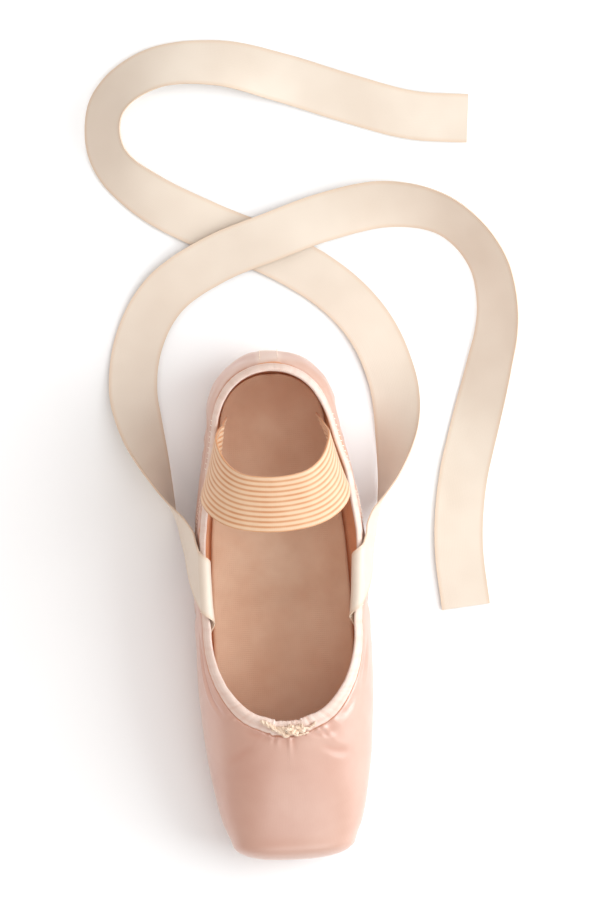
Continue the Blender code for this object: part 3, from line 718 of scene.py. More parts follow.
def ribbon_material():
    m = Nodes("ribbon_cream", Roughness=0.46, Sheen_Weight=0.25, Sheen_Roughness=0.4, Sheen_Tint=rgb(255, 244, 232),
              Specular_IOR_Level=0.5)
    run = m.uv()
    where = m.place()
    tone = m.mix(m.range(m.noise(where, 34.0, 2.0), 0.3, 0.7), rgb(220, 204, 187), rgb(228, 214, 198))
    tone = m.mix(m.attribute("selvedge"), tone, rgb(216, 186, 158))
    m.colour(tone)
    thread = m.math("ADD", m.math("MULTIPLY", m.wave(run, 560.0, "X", 0.3), 0.5),
                    m.math("MULTIPLY", m.wave(run, 420.0, "Y", 0.3), 0.5))
    slub = m.noise(m.scaled(run, (60, 500, 1)), 2.0, 2.0)
    m.bump([(m.noise(where, 70.0, 2.0), 0.35, 0.3), (slub, 0.08, 0.3), (thread, 0.05, 0.4)])
    return m.material


def floor_material():
    m = Nodes("floor_pale", Roughness=0.75, Specular_IOR_Level=0.25)
    where = m.place()
    m.colour(m.mix(m.range(m.noise(where, 3.0, 2.0), 0.3, 0.7), rgb(250, 250, 250), rgb(252, 252, 252)))
    return m.material


# ---- mesh helpers --------------------------------------------------------
def make(name, points, faces, materials, index=None, attributes=None, uv=None, smooth_angle=None):
    mesh = bpy.data.meshes.new(name)
    points = np.asarray(points, float) * MM
    mesh.from_pydata(points.tolist(), [], faces)
    for mat in materials:
        mesh.materials.append(mat)
    if index is not None:
        mesh.polygons.foreach_set("material_index", np.asarray(index, np.int32))
    for key, values in (attributes or {}).items():
        layer = mesh.attributes.new(key, "FLOAT", "POINT")
        layer.data.foreach_set("value", np.asarray(values, np.float32).ravel())
    if uv is not None:
        layer = mesh.uv_layers.new(name="run")
        verts = np.empty(len(mesh.loops), np.int32)
        mesh.loops.foreach_get("vertex_index", verts)
        layer.data.foreach_set("uv", (np.asarray(uv, np.float32) * MM)[verts].ravel())
    mesh.update()
    mesh.shade_smooth()
    if smooth_angle:
        mesh.set_sharp_from_angle(angle=math.radians(smooth_angle))
    ob = bpy.data.objects.new(name, mesh)
    bpy.context.scene.collection.objects.link(ob)
    return ob


def grid_faces(rows, columns, wrap_rows=False, wrap_columns=False, start=0, flip=False):
    faces = []
    for r in range(rows if wrap_rows else rows - 1):
        n = (r + 1) % rows
        for c in range(columns if wrap_columns else columns - 1):
            k = (c + 1) % columns
            f = (start + r * columns + c, start + n * columns + c, start + n * columns + k, start + r * columns + k)
            faces.append(f[::-1] if flip else f)
    return faces


def join_parts(parts):
    """Several (points, faces) as one."""
    points, faces, base = [], [], 0
    for p, f in parts:
        points.append(np.asarray(p, float))
        faces += [tuple(base + i for i in face) for face in f]
        base += len(p)
    return np.concatenate(points), faces


def tube(line, radius, sides=8, taper=0.0):
    line = np.asarray(line, float)
    t = np.gradient(line, axis=0)
    t /= np.linalg.norm(t, axis=1)[:, None]
    up = np.array((0.21, 0.33, 0.92))
    rings = []
    for i, (p, d) in enumerate(zip(line, t)):
        a = np.cross(d, up)
        a /= np.linalg.norm(a)
        b = np.cross(d, a)
        end = min(i, len(line) - 1 - i)
        r = radius * (1 - taper * max(0.0, 1 - end / 2.0))
        rings.append([p + r * (a * math.cos(k) + b * math.sin(k)) for k in np.arange(sides) / sides * 2 * math.pi])
    faces = grid_faces(len(line), sides, wrap_columns=True)
    faces += [tuple(range(sides)), tuple((len(line) - 1) * sides + k for k in range(sides))[::-1]]
    return np.array(rings).reshape(-1, 3), faces


def grain(points, scale, seed=0.0):
    return np.array([noise.noise(Vector((x * scale + seed, y * scale, z * scale))) for x, y, z in points])


def stitch(centre, along_dir, normal, length, width=0.55):
    """One short thread lying on a surface, its ends dipping in."""
    along_dir = along_dir / np.linalg.norm(along_dir)
    side = np.cross(normal, along_dir)
    side /= np.linalg.norm(side)
    normal = np.cross(along_dir, side)
    rings = []
    for t in (-1.0, -0.72, 0.0, 0.72, 1.0):
        r = width / 2 * (0.45 if abs(t) == 1 else 1.0)
        lift = 0.16 * (1 - t * t) - 0.06
        c = centre + along_dir * length / 2 * t + normal * lift
        rings.append([c + r * (side * math.cos(a) + 0.75 * normal * math.sin(a)) for a in np.arange(6) / 6 * 2 * math.pi])
    faces = grid_faces(5, 6, wrap_columns=True) + [tuple(range(6)), tuple(24 + k for k in range(6))[::-1]]
    return np.array(rings).reshape(-1, 3), faces


# ---- places on the upper -------------------------------------------------
def on_side(side, d, z):
    """Point on the outside of the upper and the way it faces."""
    y, e = TIP + d, 0.3
    w = float(reach(y, z, side))
    dy = (float(reach(y + e, z, side)) - float(reach(y - e, z, side))) / (2 * e)
    dz = (float(reach(y, z + e, side)) - float(reach(y, z - e, side))) / (2 * e)
    n = np.array((side, -dy, -dz))
    return np.array((side * w, y, z)), n / np.linalg.norm(n)


def on_top(x, d):
    """Point on top of the vamp and the way it faces."""
    def height(x, y):
        low, high = 17.5, 90.0
        for _ in range(26):
            z = (low + high) / 2
            if float(reach(y, z, x)) > abs(x):
                low = z
            else:
                high = z
        return low

    y, e = TIP + d, 0.3
    z = height(x, y)
    dx = (height(x + e, y) - height(x - e, y)) / (2 * e)
    dy = (height(x, y + e) - height(x, y - e)) / (2 * e)
    n = np.array((-dx, -dy, 1.0))
    return np.array((x, y, z)), n / np.linalg.norm(n)


def on_back(x, z):
    """Point on the back of the heel and the way it faces."""
    def far(x, z):
        low, high = 60.0, 118.0
        for _ in range(26):
            y = (low + high) / 2
            if float(reach(y, z, x)) > abs(x):
                low = y
            else:
                high = y
        return low

    e = 0.3
    y = far(x, z)
    dx = (far(x + e, z) - far(x - e, z)) / (2 * e)
    dz = (far(x, z + e) - far(x, z - e)) / (2 * e)
    n = np.array((-dx, 1.0, -dz))
    return np.array((x, y, z)), n / np.linalg.norm(n)


# ---- upper ---------------------------------------------------------------
# Side seam on each side: from the sole's edge up and back to the collar.
SEAM = ((124.0, 5.6), (128.0, 8.0), (135.0, 14.0), (144.0, 21.0), (153.0, 28.5), (162.0, 36.0), (169.0, 42.5))

# Creases on the sides: side, width, depth, then d and z along each.
SIDE_CREASES = (
    (1, 2.3, 1.25, ((138.0, 8.5), (147.0, 14.0), (158.0, 18.0), (170.0, 17.5))),
    (1, 1.9, 1.05, ((148.0, 7.8), (156.0, 11.5), (167.0, 13.0), (177.0, 11.0))),
    (1, 2.5, 1.00, ((102.0, 7.5), (110.0, 14.0), (116.0, 23.0), (118.0, 31.0))),
    (1, 2.0, 0.80, ((92.0, 8.0), (98.0, 14.0), (101.0, 21.0))),
    (1, 2.8, 1.00, ((144.0, 26.0), (156.0, 31.0), (169.0, 31.5), (180.0, 27.0))),
    (1, 2.0, 0.85, ((172.0, 9.0), (181.0, 15.0), (190.0, 22.0), (197.0, 31.0))),
    (1, 1.9, 0.75, ((184.0, 37.0), (193.0, 33.0), (204.0, 34.0))),
    (1, 1.8, 0.70, ((196.0, 10.0), (203.0, 16.0), (207.0, 24.0))),
    (1, 2.4, 0.90, ((120.0, 39.0), (129.0, 33.0), (136.0, 24.0), (138.0, 16.0))),
    (1, 1.8, 0.65, ((150.0, 37.0), (160.0, 35.5), (171.0, 37.0))),
    (-1, 2.3, 1.20, ((137.0, 9.0), (148.0, 15.5), (160.0, 17.5), (171.0, 15.0))),
    (-1, 1.9, 1.00, ((150.0, 7.8), (159.0, 11.0), (170.0, 11.5))),
    (-1, 2.5, 1.00, ((100.0, 8.5), (108.0, 15.0), (115.0, 24.0), (116.0, 32.0))),
    (-1, 2.7, 0.95, ((146.0, 29.0), (158.0, 31.5), (170.0, 29.5), (181.0, 24.0))),
    (-1, 2.0, 0.80, ((180.0, 12.0), (189.0, 19.0), (198.0, 30.0))),
    (-1, 1.8, 0.70, ((182.0, 38.5), (193.0, 35.0), (205.0, 37.0))),
    (-1, 2.2, 0.80, ((122.0, 38.0), (130.0, 31.0), (135.0, 22.0))),
    # Beside the throat, in line with the casing.
    (-1, 1.15, 1.0, ((70.0, 46.0), (77.0, 42.2), (86.0, 39.2), (96.0, 37.2), (106.0, 36.0))),
    (1, 1.6, 0.55, ((80.0, 41.5), (90.0, 38.0), (100.0, 35.0))),
)
# Creases on top of the vamp: width, depth, then x and d along each.
TOP_CREASES = (
    (1.6, 0.42, ((9.0, 60.5), (15.0, 59.0), (22.0, 60.5))),
    (2.0, 0.30, ((14.0, 55.0), (21.0, 51.0), (27.0, 50.0))),
    (1.5, 0.32, ((-8.0, 61.0), (-14.0, 60.0), (-20.0, 62.5))),
    (2.2, 0.22, ((-16.0, 55.0), (-23.0, 50.0), (-28.0, 46.0))),
    (1.5, 0.28, ((24.0, 66.0), (28.0, 70.0), (31.0, 76.0))),
)
# Pleats under the toe: x at the sole's front edge, then x and d at the far end.
PLEATS = (
    (-15.5, -24.5, 13.0), (-11.0, -18.0, 7.0), (-6.6, -11.5, 4.6), (-2.2, -4.4, 3.9),
    (2.2, 3.4, 3.9), (6.6, 11.0, 4.6), (11.0, 17.6, 7.0), (15.5, 24.0, 13.0),
    (20.5, 30.5, 22.0), (-20.5, -30.5, 22.0),
)


def stroke_distance(points, stroke):
    """Distance to a polyline, and the share of its length at the nearest place."""
    stroke = np.asarray(stroke, float)
    seg = np.linalg.norm(np.diff(stroke, axis=0), axis=1)
    run = np.concatenate(([0.0], np.cumsum(seg)))
    best = np.full(len(points), 1e9)
    share = np.zeros(len(points))
    for k in range(len(stroke) - 1):
        a, b = stroke[k], stroke[k + 1]
        t = np.clip(((points - a) @ (b - a)) / (seg[k] ** 2), 0, 1)
        dist = np.linalg.norm(points - (a + t[:, None] * (b - a)), axis=1)
        near = dist < best
        best = np.where(near, dist, best)
        share = np.where(near, (run[k] + t * seg[k]) / run[-1], share)
    return best, share


def curved(points, count=24):
    """Smooth line through a few points."""
    points = np.asarray(points, float)
    m = np.gradient(points, axis=0)
    fine = np.linspace(0, len(points) - 1, count)
    k = np.clip(fine.astype(int), 0, len(points) - 2)
    t = (fine - k)[:, None]
    return ((2 * t**3 - 3 * t**2 + 1) * points[k] + (t**3 - 2 * t**2 + t) * m[k]
            + (3 * t**2 - 2 * t**3) * points[k + 1] + (t**3 - t**2) * m[k + 1])


def trough(points, stroke, width, depth, tapered=True):
    """Soft trough with a low ridge on each side."""
    dist, share = stroke_distance(points, stroke)
    q = dist / width
    fade = np.sin(np.pi * np.clip(share, 0.02, 0.98)) ** 0.6 if tapered else 1.0
    low = np.exp(-q * q) * fade
    ridge = np.exp(-((q - 1.9) ** 2) / 0.5) * fade
    return -depth * low + 0.32 * depth * ridge, low


def build_upper(lines):
    rows = 92
    grid = []
    for item in lines:
        end = item[2] - CASING_WIDTH - 0.05
        grid.append(along(item, spread(item, 0.0, end, rows)))
    outer = np.array(grid)
    # The satin bridges the last's faint ridge down the middle of the vamp.
    around = np.arange(len(outer))
    ease = np.clip(1 - np.minimum(around, len(outer) - around) / 9.0, 0, 1)[:, None, None]
    for _ in range(8):
        mean = (np.roll(outer, 1, axis=0) + 2 * outer + np.roll(outer, -1, axis=0)) / 4
        outer = outer + (mean - outer) * ease
    normal = grid_normals(outer)
    thick = wall(outer[..., 1], outer[..., 2])[..., None]
    inner = outer - normal * thick
    planes = len(outer)
    flat = outer.reshape(-1, 3)
    x, y, z = flat.T
    d = y - TIP

    move = np.zeros(len(flat))
    crease_shade = np.zeros(len(flat))
    fold_highlight = np.zeros(len(flat))
    pale = np.zeros(len(flat))

    # Cloth over a stiff form: very shallow swells, none on the hard platform.
    soft = smooth((d - 20.0) / 60.0)
    move += 0.16 * soft * grain(flat, 0.045, 3.0) + 0.10 * soft * grain(flat, 0.11, 9.0)
    move += 0.55 * smooth((d - 112.0) / 30.0) * grain(flat * (1, 1, 1.4), 0.070, 21.0)
    move += 0.22 * smooth((d - 112.0) / 30.0) * grain(flat * (1, 1, 0.8), 0.16, 33.0)

    for side, width, depth, marks in SIDE_CREASES:
        stroke = curved([on_side(side, *m)[0] for m in marks])
        near = np.sign(x) == side
        bend, low = trough(flat, stroke, width, depth)
        move += np.where(near, bend, 0.0)
        # Painted shade in the trough: full for the narrow creases, weaker for the broad ones.
        dark = 1.0 if width < 1.5 else 0.62 * min(1.0, depth)
        crease_shade = np.maximum(crease_shade, np.where(near, dark * low, 0.0))
    for width, depth, marks in TOP_CREASES:
        stroke = curved([on_top(*m)[0] for m in marks])
        bend, low = trough(flat, stroke, width, depth)
        move += np.where(z > 20.0, bend, 0.0)
        # Painted shade in the trough.
        crease_shade = np.maximum(crease_shade, np.where(z > 20.0, 0.35 * low, 0.0))

    # Side seams: a fine groove, the cloth drawn up a little on both sides, and painted shade in the groove.
    for side in (1, -1):
        stroke = curved([on_side(side, *m)[0] for m in SEAM], 40)
        near = np.sign(x) == side
        dist, share = stroke_distance(flat, stroke)
        groove = np.exp(-((dist / 0.7) ** 2))
        puff = np.exp(-(((dist - 3.2) / 1.6) ** 2)) * (0.7 + 0.3 * np.sin(share * 120.0))
        move += np.where(near, -0.45 * groove + 0.16 * puff, 0.0)
        crease_shade = np.maximum(crease_shade, np.where(near, 0.6 * groove, 0.0))

    # Heel strip, one layer proud, from the sole's end to the collar.
    strip = smooth((5.4 - np.abs(x)) / 0.5) * (y > 80.0)
    move += 0.32 * strip
    edge = np.exp(-(((np.abs(x) - 5.6) / 0.5) ** 2)) * (y > 80.0)
    move -= 0.15 * edge
    # Painted shade along the strip's edges.
    crease_shade = np.maximum(crease_shade, 0.45 * edge)
    pale = np.maximum(pale, 0.55 * strip)

    # Pleats that draw the satin in under the toe, with painted shade in each trough and a painted highlight on the
    # ridge beside it.
    for x0, x1, d1 in PLEATS:
        ys = np.linspace(TIP + SOLE_FRONT + 3.0 + 0.012 * x0 * x0, TIP + d1, 18)
        xs = np.linspace(x0, x1, 18)
        zs = underside(xs, ys)
        stroke = np.stack((xs, ys, zs), axis=-1)
        dist, share = stroke_distance(flat, stroke)
        low_side = z < 13.0
        fade = np.clip(1.25 - share, 0.0, 1.0) ** 0.8
        move += np.where(low_side, (-0.75 * np.exp(-((dist / 0.55) ** 2))
                                    + 0.50 * np.exp(-(((dist - 1.5) / 0.8) ** 2))) * fade, 0.0)
        crease_shade = np.maximum(crease_shade, np.where(low_side, 0.8 * np.exp(-((dist / 0.5) ** 2)) * fade, 0.0))
        fold_highlight = np.maximum(fold_highlight, np.where(low_side, np.exp(-(((dist - 1.2) / 0.45) ** 2)) * fade, 0.0))

    # Puckers below the casing, strongest beside the knot, with painted shade in their troughs and along the tuck
    # under the casing.
    rise = np.tile(np.linspace(0, 1, rows), planes)
    lengths = np.array([item[2] for item in lines])
    below = (1 - rise) * np.repeat(lengths, rows)
    edge_line = outer[:, -1]
    run = np.concatenate(([0.0], np.cumsum(np.linalg.norm(np.diff(edge_line, axis=0), axis=1))))
    total = run[-1] + np.linalg.norm(edge_line[0] - edge_line[-1])
    place = np.repeat(run, rows)
    from_knot = np.minimum(place, total - place)
    strong = 0.20 * np.exp(-((from_knot / 34.0) ** 2)) + 0.05
    uneven = place + 1.3 * np.sin(place * 0.37 + 0.5) + 0.8 * np.sin(place * 0.83)
    reach_down = 3.8 + 1.8 * np.sin(place * 0.41 + 1.1)
    wavelet = np.sin(uneven * 2 * math.pi / 5.4) * np.exp(-((below / reach_down) ** 2))
    wavelet *= 0.6 + 0.4 * np.sin(place * 0.29 + 2.0)
    move += strong * wavelet * 1.5
    crease_shade = np.maximum(crease_shade, np.clip(-wavelet, 0, 1) * strong * 2.2)
    tuck = np.exp(-((below / 0.9) ** 2))
    move -= 0.28 * tuck
    crease_shade = np.maximum(crease_shade, 0.5 * tuck)

    # The satin is tucked in where it meets the sole's edge: painted shade along that line.
    rim = np.abs(np.abs(x) - sole_half(d))
    seat = np.exp(-((rim / 0.9) ** 2)) * (z < 9.0) * (d > SOLE_FRONT) * (d < SOLE_BACK)
    crease_shade = np.maximum(crease_shade, 0.6 * seat)

    moved = flat + normal.reshape(-1, 3) * move[:, None]
    lining = inner.reshape(-1, 3) + normal.reshape(-1, 3) * (0.12 * grain(inner.reshape(-1, 3), 0.09, 5.0))[:, None]
    points = np.concatenate((moved, lining))
    other = planes * rows
    faces = grid_faces(planes, rows, wrap_rows=True)
    outside = len(faces)
    faces += grid_faces(planes, rows, wrap_rows=True, start=other, flip=True)
    rims = []
    for u in range(planes):
        n = (u + 1) % planes
        top = rows - 1
        rims.append((u * rows + top, n * rows + top, other + n * rows + top, other + u * rows + top))
        rims.append((n * rows, u * rows, other + u * rows, other + n * rows))
    index = [0] * outside + [1] * (len(faces) - outside + len(rims))
    faces += rims
    up = np.tile(np.linspace(0, 1, rows), planes) * np.repeat(lengths, rows)
    uv = np.stack((place, up), axis=-1)
    both = np.concatenate((uv, uv))
    zero = np.zeros(len(flat))
    ob = make("satin_upper", points, faces, [satin_material(), canvas_material()], index,
              {"crease_shade": np.concatenate((np.clip(crease_shade, 0, 1), zero)),
               "fold_highlight": np.concatenate((np.clip(fold_highlight, 0, 1), zero)),
               "pale": np.concatenate((np.clip(pale, 0, 1), zero))}, both)
    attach(ob, "root")
    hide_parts("upper")
    return ob


def build_stitches():
    """Two rows along each side seam and the heel strip."""
    parts = []
    for side in (1, -1):
        marks = curved(SEAM, 60)
        for offset in (-1.7, 1.7):
            for k in range(1, 59, 1):
                if k % 2:
                    continue
                a, b = marks[k - 1], marks[k + 1]
                step = (b - a) / np.linalg.norm(b - a)
                across = np.array((-step[1], step[0]))
                m = marks[k] + across * offset
                p, n = on_side(side, m[0], m[1])
                q, _ = on_side(side, m[0] + step[0], m[1] + step[1])
                parts.append(stitch(p + n * 0.14, q - p, n, 1.7, 0.42))
    for x in (-3.9, 3.9):
        for z in np.arange(8.0, 44.0, 2.3):
            p, n = on_back(x, z)
            q, _ = on_back(x, z + 1.0)
            parts.append(stitch(p + n * 0.42, q - p, n, 1.6, 0.42))
    points, faces = join_parts(parts)
    ob = make("seam_stitches", points, faces, [cord_material("thread_cream", (250, 226, 206), (255, 240, 226))])
    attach(ob, "root")
    return ob


# ---- casing and knot -----------------------------------------------------
def build_casing(lines):
    rows, sides, fine = 7, 20, 3
    strip = np.array([along(item, np.linspace(item[2] - CASING_WIDTH, item[2], rows)) for item in lines])
    across = grid_normals(strip)

    def finer(a):
        n = len(a)
        at = np.arange(n * fine) / fine
        k = at.astype(int)
        t = (at - k).reshape((-1,) + (1,) * (a.ndim - 1))
        p0, p1, p2, p3 = a[(k - 1) % n], a[k % n], a[(k + 1) % n], a[(k + 2) % n]
        return 0.5 * (2 * p1 + (p2 - p0) * t + (2 * p0 - 5 * p1 + 4 * p2 - p3) * t**2 + (3 * p1 - p0 - 3 * p2 + p3) * t**3)

    strip, across = finer(strip), finer(across)
    across /= np.linalg.norm(across, axis=-1, keepdims=True)
    count = len(strip)
    line = strip[:, rows // 2]
    run = np.concatenate(([0.0], np.cumsum(np.linalg.norm(np.diff(line, axis=0), axis=1))))
    total = run[-1] + np.linalg.norm(line[0] - line[-1])
    points, uv, crease_shade = [], [], []
    for p in range(count):
        s = run[p]
        away = min(s, total - s)
        pull = math.exp(-((away / 26.0) ** 2))
        right = 1.0 if s < total / 2 else 0.45
        ripple = math.sin(s * 2 * math.pi / 3.3 + 2.9 * math.sin(s * 0.17)) * (0.05 + 0.15 * pull * right)
        ripple *= 0.65 + 0.35 * math.sin(s * 0.61 + 0.7)
        ripple += math.sin(s * 2 * math.pi / 7.7 + 1.0) * 0.06
        for k in range(sides):
            a = 2 * math.pi * (k + 0.5) / sides
            c, b = math.cos(a), math.sin(a)
            share = 0.5 + 0.5 * math.copysign(abs(c) ** 0.72, c)
            half = CASING_THICK / 2 * (0.80 + 0.16 * pull)
            # Flat tape with a cord run inside near its top edge.
            cord = (0.34 if s < total / 2 else 0.55) * math.exp(-(((share - 0.74) / 0.13) ** 2))
            dip = -0.30 * math.exp(-(((share - 0.40) / 0.10) ** 2)) if b > 0 else 0.0
            out = -WALL_QUARTER / 2 + (half + (cord + dip if b > 0 else 0.0)) * math.copysign(abs(b) ** 0.8, b)
            out += ripple * (0.4 + 0.6 * share) * (1 if b > 0 else 0.4)
            at = share * (rows - 1)
            i = min(int(at), rows - 2)
            t = at - i
            place = strip[p, i] * (1 - t) + strip[p, i + 1] * t
            aim = across[p, i] * (1 - t) + across[p, i + 1] * t
            points.append(place + out * aim)
            uv.append((s, share * CASING_WIDTH if b > 0 else -share * CASING_WIDTH))
            # Painted shade at the tape's lower edge, in its groove and in the ripples' troughs.
            crease_shade.append(0.9 * math.exp(-((share - 0.02) / 0.07) ** 2) + 0.35 * math.exp(-(((share - 0.40) / 0.07) ** 2))
                          + max(0.0, -ripple) * 2.2)
    faces = grid_faces(count, sides, wrap_rows=True, wrap_columns=True, flip=True)
    ob = make("casing_tape", points, faces, [casing_material()], None, {"crease_shade": np.clip(crease_shade, 0, 1)}, uv)
    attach(ob, "root")
    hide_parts("casing")
    return strip, across, line, run


def build_knot(strip, across):
    """Drawstring's tied ends, sewn down flat on the casing at the throat: a
    twisted pair comes in on one side, then a row of lumps, then a thin end."""
    count = len(strip)
    side = np.array((1.0, 0.0, 0.0))
    rise = CASING_THICK / 2 - WALL_QUARTER / 2 + 0.35
    line = strip[:, 3]
    run = np.concatenate(([0.0], np.cumsum(np.linalg.norm(np.diff(line, axis=0), axis=1))))
    total = run[-1] + np.linalg.norm(line[0] - line[-1])

    def at(u, v, w):
        """Place u mm along the casing, v mm across it, w mm above it."""
        s = u % total
        k = int(np.searchsorted(run, s, side="right") - 1)
        n = (k + 1) % count
        h = (run[n] - run[k]) if n else total - run[k]
        t = (s - run[k]) / h
        p = line[k] * (1 - t) + line[n] * t
        out = across[k, 3] * (1 - t) + across[n, 3] * t
        out /= np.linalg.norm(out)
        ahead = (line[n] - line[k]) / np.linalg.norm(line[n] - line[k])
        return p + np.cross(out, ahead) * v + out * (w + rise)

    parts = []
    # The pair, twisted round each other, on the side away from +X.
    for phase in (0.0, math.pi):
        u = np.linspace(-13.5, -2.0, 46)
        turn = phase + (u + 13.5) * 2 * math.pi / 4.6
        swell = np.clip((u + 13.5) / 2.5, 0.25, 1.0)
        v = 1.9 - 1.9 * smooth((u + 13.5) / 11.0) + 0.62 * swell * np.cos(turn)
        w = 0.62 + 0.55 * swell * np.sin(turn)
        parts.append(tube(np.stack([at(*q) for q in zip(u, v, w)]), 0.78, 9, 0.6))
    # Lumps: small tight loops over one another.
    for u0, v0, size, turn, lift in (
        (-2.9, 0.1, 1.25, 0.3, 0.7), (-0.7, -0.6, 1.45, 1.2, 1.1), (1.5, 0.8, 1.35, 2.3, 1.0),
        (3.7, -0.3, 1.30, 0.9, 0.8), (6.0, 0.5, 1.10, 1.8, 0.6), (0.8, 0.1, 1.10, 2.7, 1.8),
    ):
        a = np.linspace(0, 2 * math.pi, 22)
        c, b = math.cos(turn), math.sin(turn)
        u = u0 + size * (1.25 * np.cos(a) * c - 0.75 * np.sin(a) * b)
        v = v0 + size * (1.25 * np.cos(a) * b + 0.75 * np.sin(a) * c)
        w = lift + 0.45 * np.sin(2 * a + turn)
        parts.append(tube(np.stack([at(*q) for q in zip(u, v, w)]), 0.98, 9))
    for marks in (
        ((5.4, 0.0, 0.8), (7.2, -0.9, 0.45), (9.4, -1.4, 0.25), (11.6, -1.0, 0.2), (13.4, -0.2, 0.2)),
        ((1.8, -1.2, 0.9), (2.8, -2.3, 0.7), (4.6, -3.2, 0.3), (6.8, -3.5, 0.15)),
    ):
        parts.append(tube(curved([at(*m) for m in marks], 18), 0.58, 9, 0.4))
    points, faces = join_parts(parts)
    points = points + across[0, 3] * (0.10 * grain(points, 1.3, 2.0))[:, None]
    ob = make("knot_cord", points, faces, [cord_material()])
    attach(ob, "root")
    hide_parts("drawstring_knot")


def build_hand_stitches(strip, across, run):
    """Crosswise stitches on the casing over the sewn ends inside."""
    parts = []
    middle = strip[:, 3]
    for side in (1, -1):
        for d0, d1, gap in ((116.0, 140.0, 2.6), (181.0, 203.0, 2.4)):
            at = d0
            while at < d1:
                near = np.where(np.sign(middle[:, 0]) == side, np.abs(middle[:, 1] - (TIP + at)), 1e9)
                p = int(np.argmin(near))
                low, high = strip[p, 1], strip[p, 4]
                n = across[p, 3]
                c = (low + high) / 2 + n * (CASING_THICK / 2 - WALL_QUARTER / 2 + 0.10)
                lean = (strip[(p + 3) % len(strip), 3] - middle[p]) * 0.25
                parts.append(stitch(c, (high - low) + lean, n, 2.6, 0.42))
                at += gap
    points, faces = join_parts(parts)
    ob = make("hand_stitches", points, faces, [cord_material("thread_pale", (252, 236, 220), (255, 246, 236))])
    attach(ob, "root")


# ---- sole and insole -----------------------------------------------------
def build_sole():
    ds = stations(SOLE_FRONT + 0.12, SOLE_BACK - 0.12, 190)
    columns = 61
    cross = np.linspace(-1, 1, columns)
    cross = np.sign(cross) * (1 - (1 - np.abs(cross)) ** 1.35)
    top, low, edge_attr, score = [], [], [], []
    for d in ds:
        half = float(sole_half(d)) - 0.02
        xs = cross * half
        y = TIP + d
        ceiling = underside(xs, np.full(columns, y)) - 0.25
        floor = sole_floor(xs, d)
        rim = np.minimum(half - np.abs(xs), np.minimum(d - SOLE_FRONT, SOLE_BACK - d) * 1.4)
        rounding = 0.85 * np.clip(1 - rim / 1.3, 0, 1) ** 2
        # Scored grid across the forefoot, cut by hand and not quite even.
        cut = np.zeros(columns)
        if 42.0 < d < 104.0:
            for k in range(7):
                line = 46.0 + 8.6 * k + 0.20 * xs + 0.8 * math.sin(1.7 * k)
                cut = np.maximum(cut, np.exp(-(((d - line) / 0.55) ** 2)))
            fade = float(smooth((d - 42.0) / 3.0) * smooth((104.0 - d) / 4.0))
            for k in range(-4, 5):
                line = 6.2 * k + 0.02 * (d - 70.0) * k
                cut = np.maximum(cut, 0.75 * np.exp(-(((xs - line) / 0.50) ** 2)) * fade)
            cut *= smooth(rim / 3.0)
        top.append(np.stack((xs, np.full(columns, y), ceiling), -1))
        low.append(np.stack((xs, np.full(columns, y), floor + np.minimum(rounding, ceiling - floor - 0.4) + 0.16 * cut), -1))
        edge_attr.append(0.8 * np.clip(1 - rim / 1.1, 0, 1) * float(smooth((d - 150.0) / 30.0)) + 0.25 * np.clip(1 - rim / 0.9, 0, 1))
        score.append(0.55 * cut)
    top, low = np.array(top), np.array(low)
    rows = len(ds)
    other = rows * columns
    faces = grid_faces(rows, columns, flip=True) + grid_faces(rows, columns, start=other)
    for r in range(rows - 1):
        a, b = r * columns, (r + 1) * columns
        faces.append((a, b, other + b, other + a)[::-1])
        a, b = r * columns + columns - 1, (r + 1) * columns + columns - 1
        faces.append((a, b, other + b, other + a))
    for c in range(columns - 1):
        faces.append((c, c + 1, other + c + 1, other + c)[::-1])
        e = (rows - 1) * columns
        faces.append((e + c, e + c + 1, other + e + c + 1, other + e + c))
    heelward = np.repeat((ds - SOLE_FRONT) / (SOLE_BACK - SOLE_FRONT), columns)
    zero = np.zeros(other)
    ob = make("suede_sole", np.concatenate((top.reshape(-1, 3), low.reshape(-1, 3))), faces, [suede_material()], None,
              {"heelward": np.concatenate((heelward, heelward)),
               "edge": np.concatenate((zero, np.array(edge_attr).ravel())),
               "score": np.concatenate((zero, np.array(score).ravel()))})
    mesh = bmesh.new()
    mesh.from_mesh(ob.data)
    bmesh.ops.recalc_face_normals(mesh, faces=mesh.faces)
    mesh.to_mesh(ob.data)
    mesh.free()
    ob.data.set_sharp_from_angle(angle=math.radians(50))
    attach(ob, "root")
    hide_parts("outsole")


